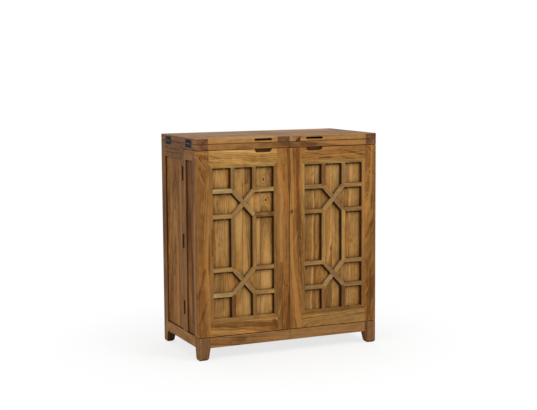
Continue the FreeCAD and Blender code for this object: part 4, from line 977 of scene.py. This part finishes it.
def dress_carcass(plain, panel, inside):
    flank = wood("flank_wood", **{**BROAD_LOOK, "rings": 0.8}, knots=0.05, fade=(0.2, 0.5, 0.16))
    for side in ("left", "right"):
        dressed(f"front_stile_{side}", plain, LEG_BROWN, FRAME_EASE)
        dressed(f"side_top_rail_{side}", plain, UMBER, FRAME_EASE)
        dressed(f"side_panel_{side}", flank, FLANK_GOLD, PANEL_EASE, Z, (Y, 3))
    dressed("back_top_rail", plain, BROWN, FRAME_EASE)
    dressed("back_panel", panel, BROWN, PANEL_EASE, Z, (X, 9))
    dressed("base_deck", inside, AMBER, INSIDE_EASE, X, (Y, 4))
    dressed("middle_shelf", inside, HONEY, INSIDE_EASE, X, (Y, 3))
    for node in ("support_battens", "stemware_rails", "bottle_cradles"):
        dressed(node, inside, AMBER, INSIDE_EASE)


def border_tone(middle, size):
    """Border strips match the rails and stiles beside them."""
    high = middle.z > MIDDLE_HEIGHT
    if size.x > size.z:
        return (BORDER_STRAW if high else STRAW) if middle.x < 0 else (STRAW if high else HONEY)
    if middle.x < 0:
        return BORDER_GOLD if middle.x < LEFT_DOOR_MIDDLE else HONEY
    return BORDER_GOLD if middle.x > -LEFT_DOOR_MIDDLE else STRAW


def left_bar_tone(middle, size):
    """Khaki level bars, the upper right one pale and the next one dark, brown uprights, khaki arms."""
    if max(size.x, size.z) > BORDER_LENGTH:
        return border_tone(middle, size)
    row = round((TOP_BAR_HEIGHT - middle.z) / BAR_STEP)
    if size.x > 2 * size.z:
        if middle.x < LEFT_DOOR_MIDDLE:
            return {0: PALE_KHAKI, 4: PALE_KHAKI}.get(row, DIM_KHAKI)
        return {0: PALE_KHAKI, 1: DUSK_BROWN}.get(row, DIM_KHAKI)
    if size.z > 2 * size.x:
        if middle.x > LEFT_DOOR_MIDDLE:
            return UPRIGHT_BROWN
        return RUSSET if row == ROWS else DUSK_BROWN
    return ARM_KHAKI


def right_bar_tone(middle, size):
    """Dull khaki level bars and arms, golden long uprights and brown short uprights."""
    if max(size.x, size.z) > BORDER_LENGTH:
        return border_tone(middle, size)
    if size.x > 2 * size.z:
        row = round((TOP_BAR_HEIGHT - middle.z) / BAR_STEP)
        return DUSK_BROWN if row == 1 and middle.x < -LEFT_DOOR_MIDDLE else DULL_KHAKI
    if size.z > 2 * size.x:
        if size.z > LONG_UPRIGHT:
            return BAR_GOLD
        if middle.x < -LEFT_DOOR_MIDDLE:
            return BROWN
        return RUSSET if middle.z < MIDDLE_HEIGHT else DULL_KHAKI
    return ARM_KHAKI


def end_board_tone(middle, size):
    """The strip behind the finger notch is painted paler than the boards, as painted light against the shade
    in the notch.
    """
    return NOTCH_LIT_BROWN if size.y < STRIP_DEPTH else HONEY


def dress_door(side, plain, panel, bars, inside, tones, bar_tone):
    outer, meeting, top, bottom = tones
    door = f"{side}_door"
    outer_figure, meeting_figure = DOOR_FIGURES[side]
    dressed(f"{door}_outer_stile", figured(f"{door}_outer_wood", *outer_figure), outer, FRAME_EASE)
    dressed(f"{door}_meeting_stile", figured(f"{door}_meeting_wood", *meeting_figure), meeting, FRAME_EASE)
    dressed(f"{door}_top_rail", figured(f"{door}_top_wood", (), TOP_RAIL_STROKES), top, FRAME_EASE)
    dressed(f"{door}_bottom_rail", figured(f"{door}_bottom_wood", (), LOW_RAIL_STROKES), bottom, FRAME_EASE)
    dressed(f"{door}_lattice", bars, bar_tone, BAR_EASE, flush=False, outer=False)
    dressed(f"{door}_panel", panel, GOLD, PANEL_EASE, Z, (X, 4))
    dressed(f"{door}_side_frame", plain, BROWN, FRAME_EASE)
    cheek = wood(f"{door}_cheek_wood", **BROAD_LOOK, fade=(0.3, 0.85, 0.32))
    dressed(f"{door}_side_panel", cheek, CHEEK_BROWN, PANEL_EASE, Z, (Y, 2))
    dressed(f"{door}_inner_side", plain, AMBER, FRAME_EASE)
    dressed(f"{door}_end_boards", inside, end_board_tone, INSIDE_EASE)
    for node in ("shelves", "gallery_rails"):
        dressed(f"{door}_{node}", inside, HONEY, INSIDE_EASE)


# Knots on the front as the photograph shows them, in mm: across, up, half width, half height.
LEFT_STILE_MARKS = [(-401, 277, 1.5, 2)]
LEFT_MEETING_MARKS = [(-36, 395, 2.5, 4)]
RIGHT_MEETING_MARKS = [(36, 739, 1.5, 3), (27, 677, 4, 6), (16, 652, 6, 9), (56, 529, 3, 6)]
RIGHT_STILE_MARKS = [(415, 819, 3, 9), (406, 712, 2.5, 8)]
APRON_MARKS = [(12, 72, 3, 3), (-91, 65, 3, 3)]
PANEL_MARKS = [(-111, 712, 10, 13), (-122, 806, 9, 14), (-347, 707, 3, 10), (-338, 520, 4, 6),
               (-318, 676, 7, 4), (222, 467, 4, 6), (327, 497, 4, 6)]
BAR_MARKS = [(-384, 357, 2.5, 3), (-390, 329, 2, 2), (76, 164, 3, 5)]

# Bands of grain on the front: strength, pale below 0, half width in mm, and points across and up.
LEFT_STILE_STROKES = [
    (-0.55, 3, -452, 923, -409, 867), (0.35, 5, -440, 918, -413, 873), (-0.4, 2, -404, 904, -391, 885),
    (-0.35, 2, -409, 892, -401, 877), (0.3, 2, -400, 905, -389, 890), (0.25, 8, -430, 920, -397, 910),
    (-0.3, 3, -443, 850, -415, 803), (0.35, 3, -428, 844, -410, 801), (0.3, 4, -436, 870, -425, 850),
    (-0.5, 5, -447, 937, -397, 933), (-0.25, 16, -419, 721, -420, 678), (0.4, 6, -417, 408, -450, 283),
    (0.3, 6, -409, 261, -445, 167), (0.25, 36, -420, 300, -420, 110)]
LEFT_MEETING_STROKES = [
    (0.3, 7, -27, 870, -27, 797), (-0.55, 7, -56, 839, -43, 777, -37, 705, -43, 641, -41, 429),
    (0.45, 2, -41, 787, -25, 715, -24, 653), (0.35, 3, -15, 569, -15, 441),
    (0.5, 2.5, -26, 336, -26, 318, -7, 309)]
RIGHT_MEETING_STROKES = [
    (0.35, 8, 20, 938, 20, 795), (-0.25, 2, 38, 933, 38, 876), (-0.45, 3, 44, 561, 17, 482),
    (-0.3, 3, 52, 436, 51, 358)]
RIGHT_STILE_STROKES = [
    (0.4, 2.5, 405, 937, 447, 902), (-0.3, 3, 400, 930, 430, 900), (0.45, 2, 429, 826, 451, 800),
    (0.3, 12, 426, 702, 427, 651), (0.2, 30, 430, 560, 430, 130)]
TOP_RAIL_STROKES = [
    (0.4, 3, 61, 919, 114, 920, 186, 905), (0.35, 4, 61, 897, 140, 894, 206, 896),
    (0.3, 8, 153, 896, 219, 894), (0.45, 3, 285, 925, 339, 911, 390, 898), (0.4, 3, 272, 896, 339, 883),
    (0.3, 6, 312, 918, 373, 907), (0.35, 3, 289, 887, 356, 877), (0.2, 3, -385, 926, -320, 897),
    (0.25, 3, -254, 912, -205, 911, -164, 910)]
LOW_RAIL_STROKES = [
    (0.7, 10, -78, 155, -62, 132), (0.3, 2.5, -383, 159, -305, 146, -212, 125),
    (0.3, 2, -373, 151, -343, 143, -321, 133), (0.3, 2.5, -305, 166, -180, 157),
    (0.3, 14, -281, 87, -228, 85)]
BAR_STROKES = [(0.5, 5, -381, 590, -379, 476), (-0.35, 5, 71, 833, 70, 710)]
LAPS = [(-227, 721, -212, 704), (-241, 707, -227, 691), (-241, 349, -227, 365), (-227, 335, -212, 352)]
LAP_STROKES = [(0.5, 1.2, *lap) for lap in LAPS + [(-c, d, -a, b) for a, b, c, d in LAPS]]
PANEL_STROKES = [
    (0.4, 14, -198, 866, -202, 800), (0.3, 6, -205, 800, -226, 780), (0.3, 16, -98, 850, -98, 790),
    (0.35, 3, 122, 812, 136, 834), (-0.4, 2, 218, 812, 233, 834), (-0.4, 2, 226, 806, 241, 830),
    (-0.35, 2, 236, 804, 248, 824), (0.35, 3, 135, 372, 136, 348), (0.35, 3, 94, 398, 95, 374),
    (-0.4, 34, -335, 830, -330, 805), (-0.2, 30, -350, 715, -330, 700), (-0.18, 30, -332, 600, -332, 450),
    (-0.15, 30, 122, 830, 122, 810), (-0.15, 34, 226, 830, 226, 800), (-0.18, 30, 333, 600, 333, 450)]
TOP_STROKES = [
    (0.25, 14, -440, 961, 0, 961), (0.45, 7, 62, 961, 135, 959), (-0.25, 9, 62, 986, 392, 986),
    (-0.15, 12, 150, 961, 392, 961)]
CLEAT_STROKES = [(-0.3, 26, -450, 987, -396, 987), (0.15, 26, 396, 987, 450, 987)]

DOOR_FIGURES = {
    "left": ((LEFT_STILE_MARKS, LEFT_STILE_STROKES), (LEFT_MEETING_MARKS, LEFT_MEETING_STROKES)),
    "right": ((RIGHT_STILE_MARKS, RIGHT_STILE_STROKES), (RIGHT_MEETING_MARKS, RIGHT_MEETING_STROKES))}

# Painted grey sheen on the upward faces of the tops and of the cleats.
TOP_SHEEN_TINT = (0.65, 0.71, 0.93)
CAP_SHEEN_TINT = (0.97, 1.12, 1.25)


def dress_all():
    top = wood("top_wood", rings=0.9, knots=0.05, strokes=TOP_STROKES, up_tint=TOP_SHEEN_TINT, **TOP_LOOK)
    caps = wood("cleat_wood", streaks=0.6, rings=0.7, knots=0.0, strokes=CLEAT_STROKES, walls=0.22,
                up_tint=CAP_SHEEN_TINT, hearted=True, fade=(0.986, 0.99, 0.12), **TOP_LOOK)
    plain = figured("frame_wood", (), ())
    panel = wood("panel_wood", **{**BROAD_LOOK, "streaks": 0.3, "rings": 0.75}, knots=0.08,
                 marks=PANEL_MARKS, strokes=PANEL_STROKES, drift=0.9, skyward=0.9)
    bars = wood("lattice_wood", **{**FRAME_LOOK, "rings": 0.6}, streaks=0.4, marks=BAR_MARKS,
                strokes=BAR_STROKES + LAP_STROKES, walls=0.9, loose=1.5 * MM, rim=0.4)
    inside = wood("inside_wood", streaks=0.4, rings=0.7, knots=0.1, wax=0.5, gloss=0.6)
    dress_tops(top, caps)
    dress_base(plain)
    dress_carcass(plain, panel, inside)
    dress_door("left", plain, panel, bars, inside, (AMBER, AMBER, STRAW, HONEY), left_bar_tone)
    dress_door("right", plain, panel, bars, inside, (AMBER, AMBER, AMBER, BAR_GOLD), right_bar_tone)
    iron = hammered_iron()
    screw_steel = drawn_steel("screw_steel", SCREW_STEEL, 0.35)
    dark_screws = drawn_steel("dark_screws", IRON, 0.45, metallic=0.2)
    for node in HINGE_NODES:
        metal_piece(node, iron, METAL_EASE)
        hinge_screws(node, dark_screws)
    metal_piece("hinge_pins", drawn_steel("pin_steel", PIN_STEEL, 0.3), METAL_EASE / 2)
    metal_piece("magnetic_catches", moulded_black(), METAL_EASE)
    catch_plates(screw_steel)
    felt_shade_strips(pressed_felt())


# Slotted screws in the hinge plates

SCREW_RADIUS = 2.7 * MM
SCREW_RISE = 0.18 * MM
SCREW_CROWN = 0.16 * MM
SLOT_HALF = 0.4 * MM
CROWN_STEPS = 8
CROWN_LEVELS = ((1, 0), (1, SCREW_RISE), (0.8, SCREW_RISE + SCREW_CROWN))
SCREW_INSET = 7.5 * MM
SCREW_SPREAD_SHARE = 0.36


def half_moon(shape, turn, side):
    """Half of a screw's crown on one side of its slot."""
    start = math.asin(SLOT_HALF / SCREW_RADIUS)
    angles = [start + (math.pi - 2 * start) * step / CROWN_STEPS for step in range(CROWN_STEPS + 1)]
    ring = [Vector((math.cos(angle), math.sin(angle), 0)) * SCREW_RADIUS for angle in angles]
    rows = []
    for share, height in CROWN_LEVELS:
        row = [Vector((point.x * share, max(point.y * share, SLOT_HALF), height)) for point in ring]
        rows.append([shape.verts.new(turn @ (point if side > 0 else Vector((-point.x, -point.y, point.z))))
                     for point in row])
    for lower, upper in zip(rows, rows[1:]):
        for index in range(CROWN_STEPS):
            shape.faces.new([lower[index], lower[index + 1], upper[index + 1], upper[index]])
        shape.faces.new([lower[-1], lower[0], upper[0], upper[-1]])
    shape.faces.new(rows[-1])


def screw_head(shape, place, out, along, chance):
    """A low slotted head at a place, facing out, its slot turned by chance."""
    across = out.cross(along)
    angle = chance.uniform(0, math.pi)
    first = math.cos(angle) * along + math.sin(angle) * across
    second = out.cross(first)
    turn = Matrix.Translation(place) @ Matrix((first, second, out)).transposed().to_4x4()
    for side in (1, -1):
        half_moon(shape, turn, side)


def screw_seat(node, low, high):
    """The middle screw's place on a hinge plate, and the plate's outward and long directions."""
    middle, size = (low + high) / 2, high - low
    side = math.copysign(1, middle.x)
    if size.y > size.z:
        far = high.z if high.z - PIN_HEIGHT > PIN_HEIGHT - low.z else low.z
        inward = Z if far < PIN_HEIGHT else -Z
        seat = Vector((side * CABINET_SIDE, middle.y, far)) + inward * SCREW_INSET
        return seat, X * side, Y, size.y
    door_side = bodies[node] != "carcass"
    face = DOOR_REAR if door_side else CARCASS_FRONT
    far = low.x if side > 0 else high.x
    return Vector((far + side * SCREW_INSET, face, middle.z)), Y if door_side else -Y, Z, size.z


def hinge_screws(node, steel):
    """Three screws in each plate of a node, near the plate's far edge."""
    shape = bmesh.new()
    chance = random.Random(node)
    for triangles in solids_of(node):
        seat, out, along, run = screw_seat(node, *box_of(triangles))
        for step in (-1, 0, 1):
            screw_head(shape, seat + along * step * run * SCREW_SPREAD_SHARE, out, along, chance)
    shaped(shape, f"{node}_screws", bodies[node], steel)


# Catch plates, and the dark strips in the gaps above and below the outer stiles, which stand in for the
# shade there

STRIKE_DEPTH = 0.4 * MM
CONTACT_DEPTH = 0.3 * MM
STRIKE_MARGIN = 3 * MM
BUFFER_DEPTH = 6.5 * MM
BUFFER_HEIGHT = 2.4 * MM
BUFFER_SET_BACK = 1.5 * MM


def boxed(low, high):
    """The triangles of a box between two corners."""
    points = [(x, y, z) for x in (low[0], high[0]) for y in (low[1], high[1]) for z in (low[2], high[2])]
    sides = [(0, 1, 3, 2), (4, 6, 7, 5), (0, 4, 5, 1), (2, 3, 7, 6), (0, 2, 6, 4), (1, 5, 7, 3)]
    halves = [half for side in sides for half in (side[:3], side[::2] + side[3:])]
    return [tuple(points[corner] for corner in half) for half in halves]


def small_piece(name, body, material, boxes, ease):
    """Eased boxes as one piece."""
    shape = bmesh.new()
    for low, high in boxes:
        points, faces, flags = eased_mesh(boxed(low, high), ease)
        made = [shape.verts.new(point) for point in points]
        for face in faces:
            shape.faces.new([made[index] for index in face])
    smoothed(shaped(shape, name, body, material))


def pressed_felt():
    """Dark felt with short fibres, standing in for the shade in the gaps that it fills."""
    net = Net(bpy.data.materials.new("felt"))
    nap = net.noise(net.place(), 1800, 3, 0.6)
    colour = net.blend(net.times(nap, 0.5), rgba(FELT_BROWN), rgba(DARK_WAX_AND_SHADE))
    return net.surface(colour, 0.95, nap, 0.1 * MM, shine=0.05)


def catch_plates(steel):
    """A steel contact strip on each catch and a strike plate on each door's bottom board."""
    low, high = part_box("magnetic_catches")
    foot, head = low.z + STRIKE_MARGIN, high.z - STRIKE_MARGIN
    for side, turn in (("left", -1), ("right", 1)):
        first, last = sorted((turn * (high.x - STRIKE_MARGIN), turn * (high.x / 2 - STRIKE_MARGIN)))
        for name, body, front, depth in (
                (f"{side}_catch_contact", "carcass", low.y - CONTACT_DEPTH, CONTACT_DEPTH),
                (f"{side}_strike_plate", f"{side}_door", DOOR_REAR, STRIKE_DEPTH)):
            plate = ((first, front, foot), (last, front + depth, head))
            small_piece(name, body, steel, [plate], depth / 3)


def felt_shade_strips(felt):
    """A dark felt strip above and below each outer stile, which fills the gap there and stands in for its
    shade.
    """
    for side in ("left", "right"):
        low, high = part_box(f"{side}_door_outer_stile")
        start, end, front = low.x + BUFFER_SET_BACK, high.x - BUFFER_SET_BACK, low.y + BUFFER_SET_BACK
        strips = [((start, front, level), (end, front + BUFFER_DEPTH, level + BUFFER_HEIGHT))
                  for level in (low.z - BUFFER_HEIGHT, high.z)]
        small_piece(f"{side}_felt_shade_strips", f"{side}_door", felt, strips,
                    BUFFER_HEIGHT / 8)


# Floor, light and camera

FLOOR_HALF = 9
SHADOW_NEAR, SHADOW_FAR = 0.45, 1.2
SHADOW_VEIL = 0.76


def floor():
    """Pale paper, which the camera sees fade to the white behind it away from the cabinet; near it the
    shadow is veiled with white emission, painted light over the shadow.
    """
    mesh = bpy.data.meshes.new("floor")
    corners = [(x * FLOOR_HALF, y * FLOOR_HALF, 0) for x, y in ((-1, -1), (1, -1), (1, 1), (-1, 1))]
    mesh.from_pydata(corners, [], [[0, 1, 2, 3]])
    net = Net(bpy.data.materials.new("floor_paper"))
    place = net.place()
    colour = net.blend(net.noise(place, 60), rgba(FLOOR_WHITE), rgba(FLOOR_FLECK))
    paper = net.fed(net.node("BsdfDiffuse"), (colour,)).outputs[0]
    away = net.rise(net.length(place), SHADOW_NEAR, SHADOW_FAR)
    # The veil mixes white emission into what the camera sees of the floor, which paints the shadow lighter.
    away = net.fused(away, 1 - SHADOW_VEIL, SHADOW_VEIL)
    seen = net.times(away, net.node("LightPath").outputs["Is Camera Ray"])
    white = net.fed(net.node("Emission"), (WHITE,)).outputs[0]
    net.feed(net.node("OutputMaterial").inputs["Surface"], net.mixed(seen, paper, white))
    mesh.materials.append(net.owner)
    piece = linked("floor", mesh)


AMBIENT = 0.55


def world():
    """Even grey light on the object, and white wherever the camera sees past the floor."""
    studio = bpy.data.worlds.new("studio")
    bpy.context.scene.world = studio
    net = Net(studio)
    path = net.node("LightPath").outputs
    seen = net.most(net.most(path["Is Camera Ray"], path["Is Glossy Ray"]), path["Is Transmission Ray"])
    skies = [net.fed(net.node("Background"), (WHITE, strength)).outputs[0] for strength in (AMBIENT, 1)]
    net.feed(net.node("OutputWorld").inputs["Surface"], net.mixed(seen, *skies))


# The lamps: place, width in metres and power in watts.
SOFTBOXES = {"key_softbox": ((1.5, -2.6, 3.1), 1.5, 66), "fill_softbox": ((-3.6, -1.6, 1.9), 2.4, 40),
             "top_softbox": ((0, 0.6, 3.4), 2.2, 30)}
CABINET_MIDDLE = Vector((0, 0, 0.5))


def lights():
    """Square lamps that face the cabinet's middle."""
    for name, (place, width, power) in SOFTBOXES.items():
        lamp = bpy.data.lights.new(name, "AREA")
        lamp.shape = "SQUARE"
        lamp.size = width
        lamp.energy = power
        piece = linked(name, lamp)
        piece.location = place
        piece.rotation_euler = (CABINET_MIDDLE - Vector(place)).to_track_quat("-Z", "Y").to_euler()


# The photograph's camera: place, yaw and pitch, roll, and lens for a 36 mm wide frame.
CAMERA_PLACE = (-2.29137, -5.1416, 1.32917)
CAMERA_YAW = math.radians(24.0232)
CAMERA_PITCH = math.radians(6.78668)
CAMERA_ROLL = math.radians(-0.37443)
LENS_MM = 80.02
FRAME_MM = 36
CLIP = (0.1, 60)


def camera():
    data = bpy.data.cameras.new("photo_camera")
    data.lens = LENS_MM
    data.sensor_width = FRAME_MM
    data.sensor_fit = "HORIZONTAL"
    data.clip_start, data.clip_end = CLIP
    piece = linked("photo_camera", data)
    turn = Matrix.Rotation(-CAMERA_YAW, 4, "Z") @ Matrix.Rotation(math.pi / 2 - CAMERA_PITCH, 4, "X")
    turn = turn @ Matrix.Rotation(CAMERA_ROLL, 4, "Z")
    piece.matrix_world = Matrix.Translation(CAMERA_PLACE) @ turn
    bpy.context.scene.camera = piece


dress_all()
floor()
world()
lights()
camera()
bpy.context.scene.view_settings.view_transform = "Standard"
